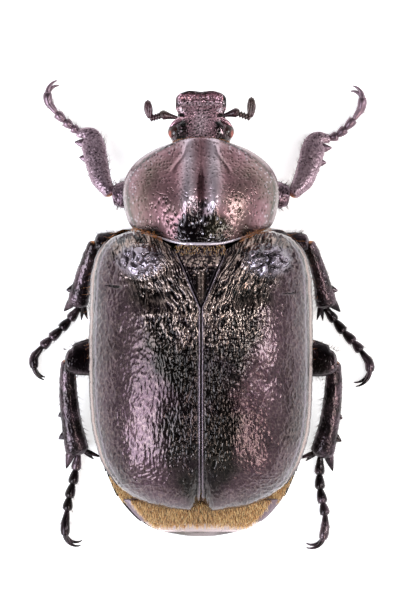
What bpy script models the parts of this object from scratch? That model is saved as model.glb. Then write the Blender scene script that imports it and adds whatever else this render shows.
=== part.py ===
"""A male hermit beetle, set in a standing pose, at life size.

The beetle faces +Y and stands on the floor at z = 0, with its back up. Sizes and places are in
millimetres: each finished mesh is scaled to metres once. Lengths along the body are given as y,
heights above the floor as z, and distances from the middle line as x.
"""

import math
from dataclasses import dataclass

import bmesh
import bpy
from mathutils import Matrix, Vector
from mathutils.geometry import interpolate_bezier

MM = 0.001
GAP = 0.3  # between neighbouring pieces

# Wing cases
WING_CASE_WIDTH = 7.5  # half the width of the pair
WING_CASE_WIDEST_Y = -3.0
WING_CASE_FRONT_REACH = 8.8
WING_CASE_REAR_REACH = 10.2
WING_CASE_THICKNESS = 0.55
WING_CASE_CROWN = 11.2
WING_CASE_TAIL_Z = 5.8
WING_CASE_TAIL_NOTCH = 0.95  # how far the pair is rounded off where the seam meets the tail
SHOULDER_Y = 5.15
TAIL_CORNER_Y = -11.3
SCUTELLUM_TIP_Y = 0.35
SCUTELLUM_BASE_Y = 4.35
SCUTELLUM_SLOPE = 0.4175  # how fast the notch for the scutellum widens towards the front

# Neck shield
SHIELD_WIDTH = 5.28
SHIELD_WIDEST_Y = 8.3
SHIELD_FRONT_REACH = 3.6
SHIELD_FRONT_Y = 11.6
SHIELD_REAR_Y = 5.45
SHIELD_LOBE_Y = 4.85  # the rear edge in the middle
SHIELD_CROWN = 9.9
SEAM_LEAN = 0.12  # how far the seam with the thorax leans forward below, for each mm

# Abdomen and thorax
ABDOMEN_WIDTH = 7.15
ABDOMEN_WIDEST_Y = -4.0
ABDOMEN_REACH = 11.0
BELLY_Z = 1.7
SIDE_SEAM_Z = 4.9  # the widest line of the abdomen, under the edge of the wing cases
THORAX_FRONT_Y = 5.1
WAIST_Y = -2.9
TAIL_SEGMENT_Y = -12.1
TAIL_PLATE_Y = -14.2
TAIL_PLATE_LEAN = 24.0  # degrees

# Head
HEAD_REAR_Y = 10.9
HEAD_FRONT_Y = 15.2
EYE_CENTRE = (1.6, 12.42, 5.75)
EYE_SIZE = (0.66, 0.66, 0.8)
ANTENNA_Z = 5.2


def blend(low, high, share):
    return low + (high - low) * share


def ease(share):
    """Rises smoothly from 0 to 1 while share does, and stays there outside that range."""
    share = min(max(share, 0.0), 1.0)
    return share * share * (3.0 - 2.0 * share)


def swell(distance, spread):
    return math.exp(-((distance / spread) ** 2))


def fullness(share, roundness, power):
    """The height of a rounded profile: 1 in the middle and 0 where share is 1."""
    return max(0.0, 1.0 - min(abs(share), 1.0) ** roundness) ** power


def spread_out(count):
    """Values from -1 to 1, packed closer towards both ends."""
    return [math.sin(math.pi * (i / count - 0.5)) for i in range(count + 1)]


# Meshes and Booleans


def finish(work, name):
    bmesh.ops.remove_doubles(work, verts=work.verts, dist=1e-5)
    bmesh.ops.recalc_face_normals(work, faces=work.faces)
    bmesh.ops.triangulate(work, faces=work.faces)
    data = bpy.data.meshes.new(name)
    work.to_mesh(data)
    work.free()
    return data


def loft(rings, ladder_caps=False):
    """A closed mesh through rings of points. A ladder cap closes a thin shell's end across its wall."""
    work = bmesh.new()
    loops = [[work.verts.new(point) for point in ring] for ring in rings]
    count = len(rings[0])
    for near, far in zip(loops, loops[1:]):
        for i in range(count):
            j = (i + 1) % count
            work.faces.new((near[i], near[j], far[j], far[i]))
    for loop in (loops[0], loops[-1]):
        if ladder_caps:
            for i in range(count // 2 - 1):
                work.faces.new((loop[i], loop[i + 1], loop[count - 2 - i], loop[count - 1 - i]))
            continue
        middle = work.verts.new(sum((v.co for v in loop), Vector()) / count)
        for i in range(count):
            work.faces.new((loop[i], loop[(i + 1) % count], middle))
    return finish(work, "loft")


def tube(path, sizes, sides=10, grow=0.0):
    """A limb along a path, oval in section and flat below, from half its width and height at each point."""
    points = [Vector(point) for point in path]
    if grow:
        points[0] = points[0] + (points[0] - points[1]).normalized() * grow
        points[-1] = points[-1] + (points[-1] - points[-2]).normalized() * grow
    rings = []
    for i, point in enumerate(points):
        along = (points[min(i + 1, len(points) - 1)] - points[max(i - 1, 0)]).normalized()
        across = along.cross(Vector((0, 0, 1))).normalized()
        above = across.cross(along)
        width, height = sizes[i]
        turns = [2 * math.pi * (k / sides - 0.25) + math.pi / sides for k in range(sides)]
        rings.append([
            point + across * (width + grow) * math.cos(turn) + above * (height + grow) * math.sin(turn)
            for turn in turns
        ])
    return loft(rings)


def spine(root, tip, radius, sides=7):
    """A pointed tooth or spur."""
    root, tip = Vector(root), Vector(tip)
    work = bmesh.new()
    bmesh.ops.create_cone(
        work, cap_ends=True, segments=sides, radius1=radius, radius2=radius * 0.22,
        depth=(tip - root).length,
    )
    turn = Vector((0, 0, 1)).rotation_difference(tip - root).to_matrix().to_4x4()
    bmesh.ops.transform(work, matrix=Matrix.Translation((root + tip) / 2) @ turn, verts=work.verts)
    return finish(work, "spine")


def egg(centre, size, grow=0.0, turn=0.0, columns=14, rows=9):
    """An ellipsoid with its half sizes, turned about the vertical."""
    work = bmesh.new()
    bmesh.ops.create_uvsphere(work, u_segments=columns, v_segments=rows, radius=1.0)
    scale = Matrix.Diagonal((*[half + grow for half in size], 1.0))
    place = Matrix.Translation(Vector(centre)) @ Matrix.Rotation(turn, 4, "Z")
    bmesh.ops.transform(work, matrix=place @ scale, verts=work.verts)
    return finish(work, "egg")


def boolean(data, others, operation):
    """The mesh joined with the others, cut by them or kept inside them. The helpers are removed again."""
    helpers = bpy.data.collections.new("helpers")
    bpy.context.scene.collection.children.link(helpers)
    for other in others:
        helpers.objects.link(bpy.data.objects.new("helper", other))
    body = bpy.data.objects.new("body", data)
    bpy.context.scene.collection.objects.link(body)
    step = body.modifiers.new("step", "BOOLEAN")
    step.operation = operation
    step.operand_type = "COLLECTION"
    step.collection = helpers
    step.solver = "MANIFOLD"
    bpy.context.view_layer.update()
    graph = bpy.context.evaluated_depsgraph_get()
    made = bpy.data.meshes.new_from_object(body.evaluated_get(graph))
    for helper in [*helpers.objects, body]:
        bpy.data.objects.remove(helper)
    bpy.data.collections.remove(helpers)
    return made


def join(pieces):
    return boolean(pieces[0], pieces[1:], "UNION")


def cut(data, cutters):
    return boolean(data, cutters, "DIFFERENCE")


def behind(y, lean=0.0):
    """A cutter of all that lies behind a length along the body, with a face that leans by degrees."""
    work = bmesh.new()
    bmesh.ops.create_cube(work, size=40.0, matrix=Matrix.Translation((0.0, -20.0, 0.0)))
    hinge = Matrix.Translation((0.0, y, SIDE_SEAM_Z)) @ Matrix.Rotation(math.radians(lean), 4, "X")
    bmesh.ops.transform(work, matrix=hinge, verts=work.verts)
    return finish(work, "behind")


def moved(data, y):
    data.transform(Matrix.Translation((0.0, y, 0.0)))
    return data


def inside(data, limits):
    return boolean(data, limits, "INTERSECT")


def largest_shell(work):
    """Keeps the largest closed surface and drops loose scraps."""
    left = set(work.verts)
    shells = []
    while left:
        seed = left.pop()
        shell, front = {seed}, [seed]
        while front:
            for edge in front.pop().link_edges:
                for vert in edge.verts:
                    if vert in left:
                        left.remove(vert)
                        shell.add(vert)
                        front.append(vert)
        shells.append(shell)
    shells.sort(key=len)
    for shell in shells[:-1]:
        bmesh.ops.delete(work, geom=list(shell), context="VERTS")


# Materials


def chitin(name, colour, roughness, metallic=0.0):
    material = bpy.data.materials.new(name)
    material.use_nodes = True
    shader = material.node_tree.nodes["Principled BSDF"]
    shader.inputs["Base Color"].default_value = (*colour, 1.0)
    shader.inputs["Roughness"].default_value = roughness
    shader.inputs["Metallic"].default_value = metallic
    return material


def node(name, data, material, collection, on_floor=False):
    """Keeps a finished mesh as one named object of the beetle, in metres."""
    work = bmesh.new()
    work.from_mesh(data)
    largest_shell(work)
    if on_floor:
        for vert in work.verts:
            vert.co.z = max(vert.co.z, 0.0)
    bmesh.ops.dissolve_degenerate(work, edges=work.edges, dist=1e-4)
    bmesh.ops.triangulate(work, faces=work.faces)
    bmesh.ops.transform(work, matrix=Matrix.Scale(MM, 4), verts=work.verts)
    mesh = bpy.data.meshes.new(name)
    work.to_mesh(mesh)
    work.free()
    mesh.materials.clear()
    mesh.materials.append(material)
    mesh.shade_smooth()
    mesh.set_sharp_from_angle(angle=math.radians(35))
    made = bpy.data.objects.new(name, mesh)
    collection.objects.link(made)
    return made


# Wing cases


def wing_case_half_width(y):
    """Half the width of the pair of wing cases at a length along the body."""
    if y > WING_CASE_WIDEST_Y:
        share = (y - WING_CASE_WIDEST_Y) / WING_CASE_FRONT_REACH
        return WING_CASE_WIDTH * fullness(share, 5.0, 0.17)
    share = (WING_CASE_WIDEST_Y - y) / WING_CASE_REAR_REACH
    return WING_CASE_WIDTH * fullness(share, 3.2, 0.385)


def tail_notch(x):
    return WING_CASE_TAIL_NOTCH * max(0.0, 1.0 - x) ** 2


def wing_case_tail_y(x):
    """Where the rear edge of a wing case lies, rounded off at the seam."""
    reach = WING_CASE_REAR_REACH * fullness(x / WING_CASE_WIDTH, 2.6, 0.3125)
    return WING_CASE_WIDEST_Y - reach + tail_notch(x)


def wing_case_crown(y):
    if y > 0:
        return WING_CASE_CROWN - 1.2 * (y / 5.7) ** 2
    rise = WING_CASE_CROWN - WING_CASE_TAIL_Z
    return WING_CASE_TAIL_Z + rise * fullness(y / 13.3, 2.6, 0.6)


def wing_case_edge_z(y):
    return 5.5 + 1.1 * ease((y - 2.0) / 3.5)


def wing_case_height(x, y):
    """The dome's height, which reaches the tail's level at the edge of the notch too."""
    edge = wing_case_edge_z(y)
    half_width = max(wing_case_half_width(y), 0.2)
    crown = wing_case_crown(y - tail_notch(x) * ease((-9.0 - y) / 3.0))
    return edge + (crown - edge) * fullness(x / half_width, 2.6, 0.55)


def wing_case_inner_x(y):
    return GAP / 2 + SCUTELLUM_SLOPE * max(0.0, y - SCUTELLUM_TIP_Y)


def wing_case_plan(along, across):
    """A point of the wing case seen from above, from its four edges: 0 to 1 from the front and the seam."""
    front_inner = Vector((wing_case_inner_x(SCUTELLUM_BASE_Y), SCUTELLUM_BASE_Y))
    front_outer = Vector((wing_case_half_width(SHOULDER_Y), SHOULDER_Y))
    rear_inner_y = wing_case_tail_y(GAP / 2)
    rear_outer = Vector((wing_case_half_width(TAIL_CORNER_Y), TAIL_CORNER_Y))
    seam_y = blend(SCUTELLUM_BASE_Y, rear_inner_y, along)
    seam = Vector((wing_case_inner_x(seam_y), seam_y))
    edge_y = blend(SHOULDER_Y, TAIL_CORNER_Y, along)
    edge = Vector((wing_case_half_width(edge_y), edge_y))
    bend = (Vector((3.1, 5.0)), Vector((4.9, 6.25)))
    one = 1.0 - across
    front = (
        front_inner * one**3 + bend[0] * 3 * one**2 * across
        + bend[1] * 3 * one * across**2 + front_outer * across**3
    )
    rear_x = blend(GAP / 2, rear_outer.x, across)
    rear = Vector((rear_x, wing_case_tail_y(rear_x)))
    rear_inner = Vector((GAP / 2, rear_inner_y))
    corners = (
        front_inner * (1 - along) * one + front_outer * (1 - along) * across
        + rear_inner * along * one + rear_outer * along * across
    )
    return seam * one + edge * across + front * (1 - along) + rear * along - corners


def wing_case_point(along, across):
    """A point of the dome, which turns down along its front edge."""
    plan = wing_case_plan(along, across)
    front_lip = 0.9 * (1.0 - ease(along / 0.075)) * (1.0 - across**4)
    return Vector((plan.x, plan.y, wing_case_height(plan.x, plan.y) - front_lip))


def wing_case_normal(x, y):
    """The way out of the dome, taken a little inside its edge, where the slope is still finite."""
    x, y = blend(x, WING_CASE_WIDTH * 0.4, 0.03), blend(y, WING_CASE_WIDEST_Y, 0.02)
    step = 0.03
    slope_x = (wing_case_height(x + step, y) - wing_case_height(x - step, y)) / (2 * step)
    slope_y = (wing_case_height(x, y + step) - wing_case_height(x, y - step)) / (2 * step)
    return Vector((-slope_x, -slope_y, 1.0)).normalized()


def wing_case_relief(x, y):
    """The shoulder knob, the knob before the tail, the raised seam and the rim, over the plain dome."""
    knob = 0.38 * swell(math.hypot(x - 4.9, (y - 3.7) * 0.9), 1.25)
    tail_knob = 0.22 * swell(math.hypot(x - 4.6, y + 10.4), 1.3)
    seam = 0.1 * swell(x - wing_case_inner_x(y), 0.4)
    dip = -0.2 * swell(math.hypot((x - 5.6) * 0.6, y - 1.7), 0.8)
    return knob + tail_knob + seam + dip


def wing_case(side, rows=24, columns=11):
    rings = []
    for i in range(rows + 1):
        along = math.sin(math.pi * (i / rows - 0.5)) * 0.5 + 0.5
        along = blend(i / rows, along, 0.6)
        outer, inner = [], []
        for j in range(columns + 1):
            across = math.sin(math.pi / 2 * j / columns)
            point = wing_case_point(along, across)
            normal = wing_case_normal(point.x, point.y)
            inner.append(point - normal * WING_CASE_THICKNESS)
            outer.append(point + normal * wing_case_relief(point.x, point.y))
        ring = outer + inner[::-1]
        rings.append([Vector((side * p.x, p.y, p.z)) for p in ring])
    return loft(rings, ladder_caps=True)


# Neck shield


def shield_half_width(y):
    if y > SHIELD_WIDEST_Y:
        share = (y - SHIELD_WIDEST_Y) / SHIELD_FRONT_REACH
        return SHIELD_WIDTH * fullness(share, 2.1, 0.5)
    return SHIELD_WIDTH - 0.17 * (SHIELD_WIDEST_Y - y) ** 2


def shield_crown(y):
    if y > 7.0:
        return SHIELD_CROWN - 2.6 * ((y - 7.0) / 5.0) ** 2
    return SHIELD_CROWN - 0.12 * ((7.0 - y) / 2.0) ** 2


def shield_relief(x, y):
    """Two ridges with a groove between them, which end in a step, and a hollow on either side."""
    x = abs(x)
    reach = ease((y - 6.9) / 1.0)
    ridge = 0.5 * swell(x - 0.85, 0.6) * reach * blend(1.0, 0.45, ease((y - 8.5) / 3.5))
    groove = -0.42 * swell(x, 0.3) * ease((y - 6.6) / 1.4)
    hollow = -0.28 * swell(math.hypot(x - 3.0, y - 10.0), 1.15)
    dent = -0.22 * swell(math.hypot(x - 3.1, y - 6.2), 0.7)
    return ridge + groove + hollow + dent


def seam_y(x, z):
    """The seam of shield and thorax: drawn back in the middle, and further forward below."""
    lobe = SHIELD_LOBE_Y + 0.5 * ease((abs(x) - 1.0) / 3.0)
    return lobe + SEAM_LEAN * (SHIELD_CROWN - 0.3 - z)


def shield_ring(y, forward, backward, tops=22, bottoms=12):
    """One ring of the shield, with its front drawn forward and its rear edge drawn back to the seam."""
    half_width = shield_half_width(y)
    edge = 5.6 + 0.5 * ease((7.5 - y) / 2.5) + 0.3 * ease((y - 10.0) / 1.6)
    keel = 2.5 + 1.4 * ease((y - 9.3) / 2.3)
    ring = []
    for u in spread_out(tops):
        x = u * half_width
        height = fullness(u, 2.2, 0.6)
        z = edge + (shield_crown(y) - edge) * height + shield_relief(x, y) * height
        ring.append(Vector((x, blend(y + forward * (1 - u * u), seam_y(x, z), backward), z)))
    for u in spread_out(bottoms)[-2:0:-1]:
        height = fullness(u, 2.0, 0.75)
        x, z = u * half_width, edge - (edge - keel) * height
        ring.append(Vector((x, blend(y, seam_y(x, z), backward), z)))
    return ring


def shield_body(stations=13):
    rings = []
    for i in range(stations + 1):
        share = i / stations
        y = blend(SHIELD_FRONT_Y, SHIELD_REAR_Y, share**1.15)
        rings.append(shield_ring(y, 0.4 * (1 - ease(share * 5)), ease((share - 0.6) / 0.4)))
    return loft(rings)


# Thorax and abdomen


def body_half_width(y):
    if y > ABDOMEN_WIDEST_Y:
        return min(wing_case_half_width(y) - 0.35, ABDOMEN_WIDTH)
    share = (ABDOMEN_WIDEST_Y - y) / ABDOMEN_REACH
    return ABDOMEN_WIDTH * fullness(share, 2.8, 0.417)


def body_roof(y):
    """The middle line of the back under the wing cases, and of the hairy segment behind them."""
    front = wing_case_crown(y) - 1.3 - 0.9 * ease((y - 3.2) / 1.8)
    covered = 5.1 + 4.7 * fullness(y / 12.3, 2.6, 0.6)
    bare = 5.1 - 1.0 * max(0.0, (-12.6 - y) / 2.3) ** 1.6
    if y > 0:
        return front
    return max(covered, bare) if y > -12.5 else bare


def body_keel(y):
    """The middle line of the underside."""
    return BELLY_Z + 0.9 * ease((-8.0 - y) / 5.5) + 0.7 * ease((y - 2.0) / 3.0)


def body_ring(y, shrink=1.0, tops=12, bottoms=12):
    to_seam = ease((y - 2.6) / (THORAX_FRONT_Y - 2.6))
    low_width = body_half_width(y) * shrink - 0.8 * to_seam
    high_width = max(min(wing_case_half_width(y) - 0.95, low_width - 0.1), low_width * 0.75) - 0.5 * to_seam
    if y < -12.4:
        high_width = low_width * 0.97
    seam = SIDE_SEAM_Z - 0.8 * ease((-9.0 - y) / 5.5)
    middle = 0.5 * (body_roof(y) + body_keel(y))
    roof = blend(middle, body_roof(y), shrink)
    keel = blend(middle, body_keel(y), shrink)
    seam = min(seam, roof - 0.25)
    ring = []
    for u in spread_out(tops):
        height = fullness(u, 2.6, 0.55)
        z = seam + 0.1 + (roof - seam - 0.1) * height
        x = u * high_width
        ring.append(Vector((x, blend(y, seam_y(x, z) - GAP * 0.8, to_seam), z)))
    for u in reversed(spread_out(bottoms)):
        height = fullness(u, 2.2, 0.6)
        z = seam - (seam - keel) * height
        x = u * low_width
        ring.append(Vector((x, blend(y, seam_y(x, z) - GAP * 0.8, to_seam), z)))
    return ring


def trunk(stations=24):
    """Thorax and abdomen in one, before they are parted."""
    rings = []
    tail_y = ABDOMEN_WIDEST_Y - ABDOMEN_REACH
    for i in range(stations + 1):
        share = math.sin(math.pi / 2 * i / stations)
        y = blend(THORAX_FRONT_Y, tail_y + 0.05, share)
        shrink = math.sqrt(max(0.0, 1.0 - ease((TAIL_PLATE_Y - y) / 0.95) ** 2 * 0.75))
        rings.append(body_ring(y, shrink))
    return loft(rings)


# Head


def head_half_width(y):
    """The spade-shaped front plate, the notch where the feelers root, and the cheeks."""
    plate = 1.72 * fullness((y - 14.5) / 0.78, 2.6, 0.45) if y > 14.5 else 1.72
    waist = 0.16 * swell(y - 13.6, 0.25)
    cheeks = 0.14 * ease((13.2 - y) / 0.5)
    return plate - waist + cheeks


def head_ring(y, grow=0.0, tops=14, bottoms=10):
    half_width = max(head_half_width(y), 0.9) + grow
    share = (y - HEAD_REAR_Y) / (HEAD_FRONT_Y - HEAD_REAR_Y)
    top = 7.1 - 1.5 * ease(share * 1.05) + grow
    bottom = 3.4 + 1.0 * ease((share - 0.6) / 0.4) - grow
    edge = blend(5.4, 5.15, share)
    ring = []
    for u in spread_out(tops):
        rim = 0.32 * ease((share - 0.78) / 0.2) * abs(u) ** 2 - 0.16 * swell(y - 14.6, 0.45) * (1 - u * u)
        brow = 0.18 * swell(y - 13.0, 0.7) * swell(abs(u) - 0.55, 0.25)
        z = edge + (top - edge) * fullness(u, 3.0, 0.55) + rim + brow
        ring.append(Vector((u * half_width, y, z)))
    for u in spread_out(bottoms)[-2:0:-1]:
        ring.append(Vector((u * half_width, y, edge - (edge - bottom) * fullness(u, 2.2, 0.6))))
    return ring


def head_body(grow=0.0, stations=15):
    rings = []
    for i in range(stations + 1):
        y = blend(HEAD_REAR_Y, HEAD_FRONT_Y, math.sin(math.pi / 2 * i / stations))
        rings.append(head_ring(y, grow))
    return loft(rings)


def eye(side, grow=0.0):
    x, y, z = EYE_CENTRE
    return egg((side * x, y, z), EYE_SIZE, grow)


def antenna(side, elbow, club_root, club_tip):
    """A club-shaped first joint, a chain of beads and a closed fan of three leaves."""
    root = Vector((side * (head_half_width(elbow[1] - 0.2) + GAP), elbow[1] - 0.2, ANTENNA_Z))
    elbow = Vector((side * elbow[0], elbow[1], ANTENNA_Z))
    club_root = Vector((side * club_root[0], club_root[1], ANTENNA_Z - 0.05))
    club_tip = Vector((side * club_tip[0], club_tip[1], ANTENNA_Z))
    joint = tube(
        [root.lerp(elbow, share) for share in (0.0, 0.35, 0.75, 1.05)],
        [(0.2, 0.2), (0.27, 0.26), (0.33, 0.32), (0.2, 0.2)], sides=7,
    )
    beads = 3
    chain = [
        egg(elbow.lerp(club_root, (k + 0.6) / beads), (0.26, 0.26, 0.26), columns=7, rows=5)
        for k in range(beads)
    ]
    half = (club_tip - club_root).length / 2
    leaves = [
        egg(
            (club_root + club_tip) / 2 + Vector((side * 0.14 * k, 0.0, 0.0)),
            (0.16, half * (1.0 - 0.07 * abs(k)), 0.3), columns=7, rows=7,
        )
        for k in (-1, 0, 1)
    ]
    return join([joint, *chain, *leaves])


def palp(side):
    """A feeler of the mouth, under the front plate."""
    path = [(0.75, 13.7, 3.55), (1.0, 14.05, 3.35), (1.2, 14.45, 3.35), (1.25, 14.8, 3.45)]
    sizes = [(0.25, 0.25), (0.26, 0.26), (0.27, 0.27), (0.12, 0.12)]
    return tube([(side * x, y, z) for x, y, z in path], sizes, sides=8)


# Legs


@dataclass(frozen=True)
class Pair:
    """What the two legs of one pair share, apart from their pose."""

    coxa: tuple  # centre
    coxa_size: tuple
    hip: tuple  # where the thigh starts, inside the coxa
    knee_z: float
    thigh: tuple  # half widths along the thigh
    shin: tuple  # half widths along the shin, knee to ankle
    shin_height: tuple
    teeth: tuple  # share along the shin and length of each outer tooth
    end_tooth: float
    spurs: tuple  # turn in degrees and length of each movable spur
    foot_radius: float


@dataclass(frozen=True)
class Leg:
    """The pose of one leg, seen from above. x counts outwards from the middle line."""

    knee: tuple
    ankle: tuple
    sag: float  # how far the middle of the shin stands out
    foot_root: tuple
    foot: tuple  # length and heading of each stretch of the foot
    claw: tuple  # length and turn of the claws


PAIRS = {
    "front": Pair(
        coxa=(1.55, 8.2, 2.45), coxa_size=(1.35, 0.95, 0.9), hip=(2.3, 8.35, 2.3), knee_z=2.0,
        thigh=(0.75, 0.9, 0.95, 0.95, 0.75), shin=(0.5, 0.62, 0.7, 0.74, 0.8, 0.8, 0.5),
        shin_height=(0.42, 0.46, 0.46, 0.44, 0.42, 0.4, 0.28),
        teeth=((0.68, 0.4), (0.9, 0.55)), end_tooth=0.0, spurs=((40.0, 0.4),), foot_radius=0.33,
    ),
    "middle": Pair(
        coxa=(2.0, 3.7, 2.0), coxa_size=(1.55, 0.85, 0.75), hip=(2.9, 4.15, 1.95), knee_z=2.6,
        thigh=(0.7, 0.85, 0.9, 0.85, 0.62), shin=(0.4, 0.48, 0.5, 0.54, 0.6, 0.7, 0.7),
        shin_height=(0.36, 0.44, 0.45, 0.47, 0.5, 0.52, 0.4),
        teeth=((0.74, 0.38),), end_tooth=0.55, spurs=((8.0, 0.75), (30.0, 0.7)), foot_radius=0.35,
    ),
    "hind": Pair(
        coxa=(2.8, -2.1, 2.15), coxa_size=(2.4, 0.85, 0.65), hip=(3.4, -2.4, 2.05), knee_z=2.7,
        thigh=(0.8, 1.2, 1.35, 1.25, 0.72), shin=(0.45, 0.56, 0.62, 0.66, 0.7, 0.78, 0.84),
        shin_height=(0.38, 0.46, 0.5, 0.54, 0.55, 0.55, 0.4),
        teeth=((0.55, 0.22), (0.76, 0.42)), end_tooth=0.85, spurs=((62.0, 0.95), (40.0, 0.5)),
        foot_radius=0.35,
    ),
}

LEGS = {
    "front_left": Leg(
        (6.02, 8.12), (7.65, 12.18), 0.14, (7.9, 12.28),
        ((0.46, 30), (0.48, 34), (0.62, 40), (0.74, 44), (0.93, 52), (0.64, 88)), (1.15, 76),
    ),
    "front_right": Leg(
        (6.02, 8.12), (7.9, 12.03), 0.18, (8.05, 12.1),
        ((0.6, -4), (0.57, 16), (0.68, 40), (0.77, 47), (0.9, 55), (0.68, 87)), (1.1, 80),
    ),
    "middle_left": Leg(
        (7.15, 5.0), (8.4, 0.55), 0.14, (8.4, 0.35),
        ((0.82, -52), (0.88, -47), (0.96, -43), (0.81, -43), (0.92, -52), (0.76, -94)), (1.2, -68),
    ),
    "middle_right": Leg(
        (7.25, 5.0), (8.55, 0.5), 0.14, (8.55, 0.35),
        ((0.92, -53), (0.98, -52), (0.95, -45), (0.77, -51), (1.0, -54), (0.63, -90)), (1.6, -82),
    ),
    "hind_left": Leg(
        (9.0, -2.95), (8.3, -9.5), 0.26, (8.35, -9.6),
        ((0.91, -80), (0.97, -78), (0.98, -75), (0.86, -82), (0.96, -82), (0.77, -90)), (1.55, -108),
    ),
    "hind_right": Leg(
        (9.0, -3.05), (8.12, -9.65), 0.28, (8.07, -9.8),
        ((1.0, -92), (1.0, -88), (0.97, -78), (0.82, -79), (0.9, -91), (0.81, -101)), (1.5, -100),
    ),
}

ANKLE_Z = 0.75


def coxa(pair, side, grow=0.0):
    x, y, z = pair.coxa
    return egg((side * x, y, z), pair.coxa_size, grow)


def thigh(pair, leg, side, grow=0.0):
    hip = Vector((side * pair.hip[0], pair.hip[1], pair.hip[2]))
    knee = Vector((side * leg.knee[0], leg.knee[1], pair.knee_z))
    shares = (0.0, 0.25, 0.55, 0.82, 1.0)
    path = [hip.lerp(knee, share) for share in shares]
    sizes = [(half, min(half, 0.62) * 1.05) for half in pair.thigh]
    return tube(path, sizes, sides=12, grow=grow)


def shin_path(pair, leg, side):
    """Points along the middle of the shin, which bows outwards and dips towards the foot."""
    knee = Vector((side * leg.knee[0], leg.knee[1], pair.knee_z))
    ankle = Vector((side * leg.ankle[0], leg.ankle[1], ANKLE_Z))
    away = (ankle - knee).cross(Vector((0, 0, 1))).normalized()
    if away.x * side < 0:
        away = -away
    shares = [i / (len(pair.shin) - 1) for i in range(len(pair.shin))]
    bows = [leg.sag * math.sin(math.pi * share) for share in shares]
    return [knee.lerp(ankle, share) + away * bow for share, bow in zip(shares, bows)], away


def shin(pair, leg, side, grow=0.0):
    path, _ = shin_path(pair, leg, side)
    return tube(path, list(zip(pair.shin, pair.shin_height)), sides=10, grow=grow)


def point_on(path, share):
    place = share * (len(path) - 1)
    low = min(int(place), len(path) - 2)
    return path[low].lerp(path[low + 1], place - low)


def width_at(values, share):
    place = share * (len(values) - 1)
    low = min(int(place), len(values) - 2)
    return blend(values[low], values[low + 1], place - low)


def shin_spines(pair, leg, side):
    """The teeth of the outer edge, the tooth at the end and the movable spurs on the inside."""
    path, away = shin_path(pair, leg, side)
    along = (path[-1] - path[-2]).normalized()
    made = []
    for share, length in pair.teeth:
        half = width_at(pair.shin, share)
        centre = point_on(path, share)
        tip = centre + away * (half + length * 0.7) + along * (length * 0.75)
        made.append(spine(centre + away * (half - 0.45), tip, 0.36))
    if pair.end_tooth:
        root = path[-1] + away * (pair.shin[-1] * 0.5) - along * 0.35
        tip = path[-1] + away * (pair.shin[-1] + 0.1) + along * pair.end_tooth
        made.append(spine(root, tip - Vector((0, 0, 0.15)), 0.3))
    for turn, length in pair.spurs:
        inward = along * math.cos(math.radians(turn)) - away * math.sin(math.radians(turn))
        root = path[-1] - away * (pair.shin[-1] * 0.5) - along * 0.25
        made.append(spine(root, root + inward * (length + 0.35) - Vector((0, 0, 0.12)), 0.26))
    return made


def foot_joints(leg, side, start):
    """The ends of the stretches of the foot, from their lengths and headings."""
    joints = [Vector(start)]
    for length, heading in leg.foot:
        turn = math.radians(heading)
        joints.append(joints[-1] + Vector((side * math.cos(turn), math.sin(turn), 0.0)) * length)
    return joints


def foot(pair, leg, side):
    """Four short joints, a long last one and two claws, lying on the floor."""
    radius = pair.foot_radius
    rest_z = radius * 0.87
    joints = foot_joints(leg, side, (side * leg.foot_root[0], leg.foot_root[1], rest_z))
    joints[0].z = blend(rest_z, ANKLE_Z, 0.6)
    pieces = []
    for near, far in zip(joints[:4], joints[1:5]):
        shares = (-0.06, 0.3, 0.78, 1.08)
        sizes = [radius * size for size in (0.72, 0.84, 1.0, 0.6)]
        pieces.append(tube([near.lerp(far, share) for share in shares], [(s, s) for s in sizes], sides=7))
    handles = (joints[4].lerp(joints[5], 0.8), joints[5].lerp(joints[6], 0.3))
    curve = interpolate_bezier(joints[4], *handles, joints[6], 6)
    back = (joints[4] - joints[5]).normalized() * 0.1
    sizes = [radius * size for size in (0.72, 0.8, 0.86, 0.95, 1.0, 0.75)]
    pieces.append(tube([curve[0] + back, *curve[1:]], [(s, s) for s in sizes], sides=7))
    length, turn = leg.claw
    heading = leg.foot[-1][1]
    for lift, swing in ((0.11, 0.0), (-0.09, 0.16)):
        point = joints[6] + (joints[5] - joints[6]).normalized() * 0.12
        path = [point + Vector((0, 0, lift))]
        steps = 5
        reach = length * (1.0 - 0.5 * swing)
        for k in range(steps):
            angle = math.radians(heading + turn * ((k + 0.5) / steps + swing))
            path.append(path[-1] + Vector((side * math.cos(angle), math.sin(angle), 0)) * (reach / steps))
        sizes = [blend(0.24, 0.07, (k / steps) ** 1.2) for k in range(steps + 1)]
        pieces.append(tube(path, [(s * 0.8, s) for s in sizes], sides=6))
    return join(pieces)


# The beetle


def scutellum():
    """The grooved triangle between the wing cases."""
    rows = 9
    rings = []
    for i in range(rows + 1):
        y = blend(SCUTELLUM_BASE_Y + 0.1, SCUTELLUM_TIP_Y + 0.65, i / rows)
        half_width = max(wing_case_inner_x(y) - GAP * 1.1, 0.08)
        top = wing_case_crown(y) - 0.2 - 0.5 * ease((y - 3.2) / 1.3)
        ring = []
        for u in spread_out(10):
            x = u * half_width
            groove = 0.14 * swell(abs(x) - 0.45, 0.22) * ease((y - 1.6) / 0.8) * ease((4.2 - y) / 0.6)
            ring.append(Vector((x, y, top - 0.12 * u * u - groove)))
        for u in reversed(spread_out(10)):
            ring.append(Vector((u * half_width, y, top - 0.72)))
        rings.append(ring)
    return loft(rings)


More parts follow.
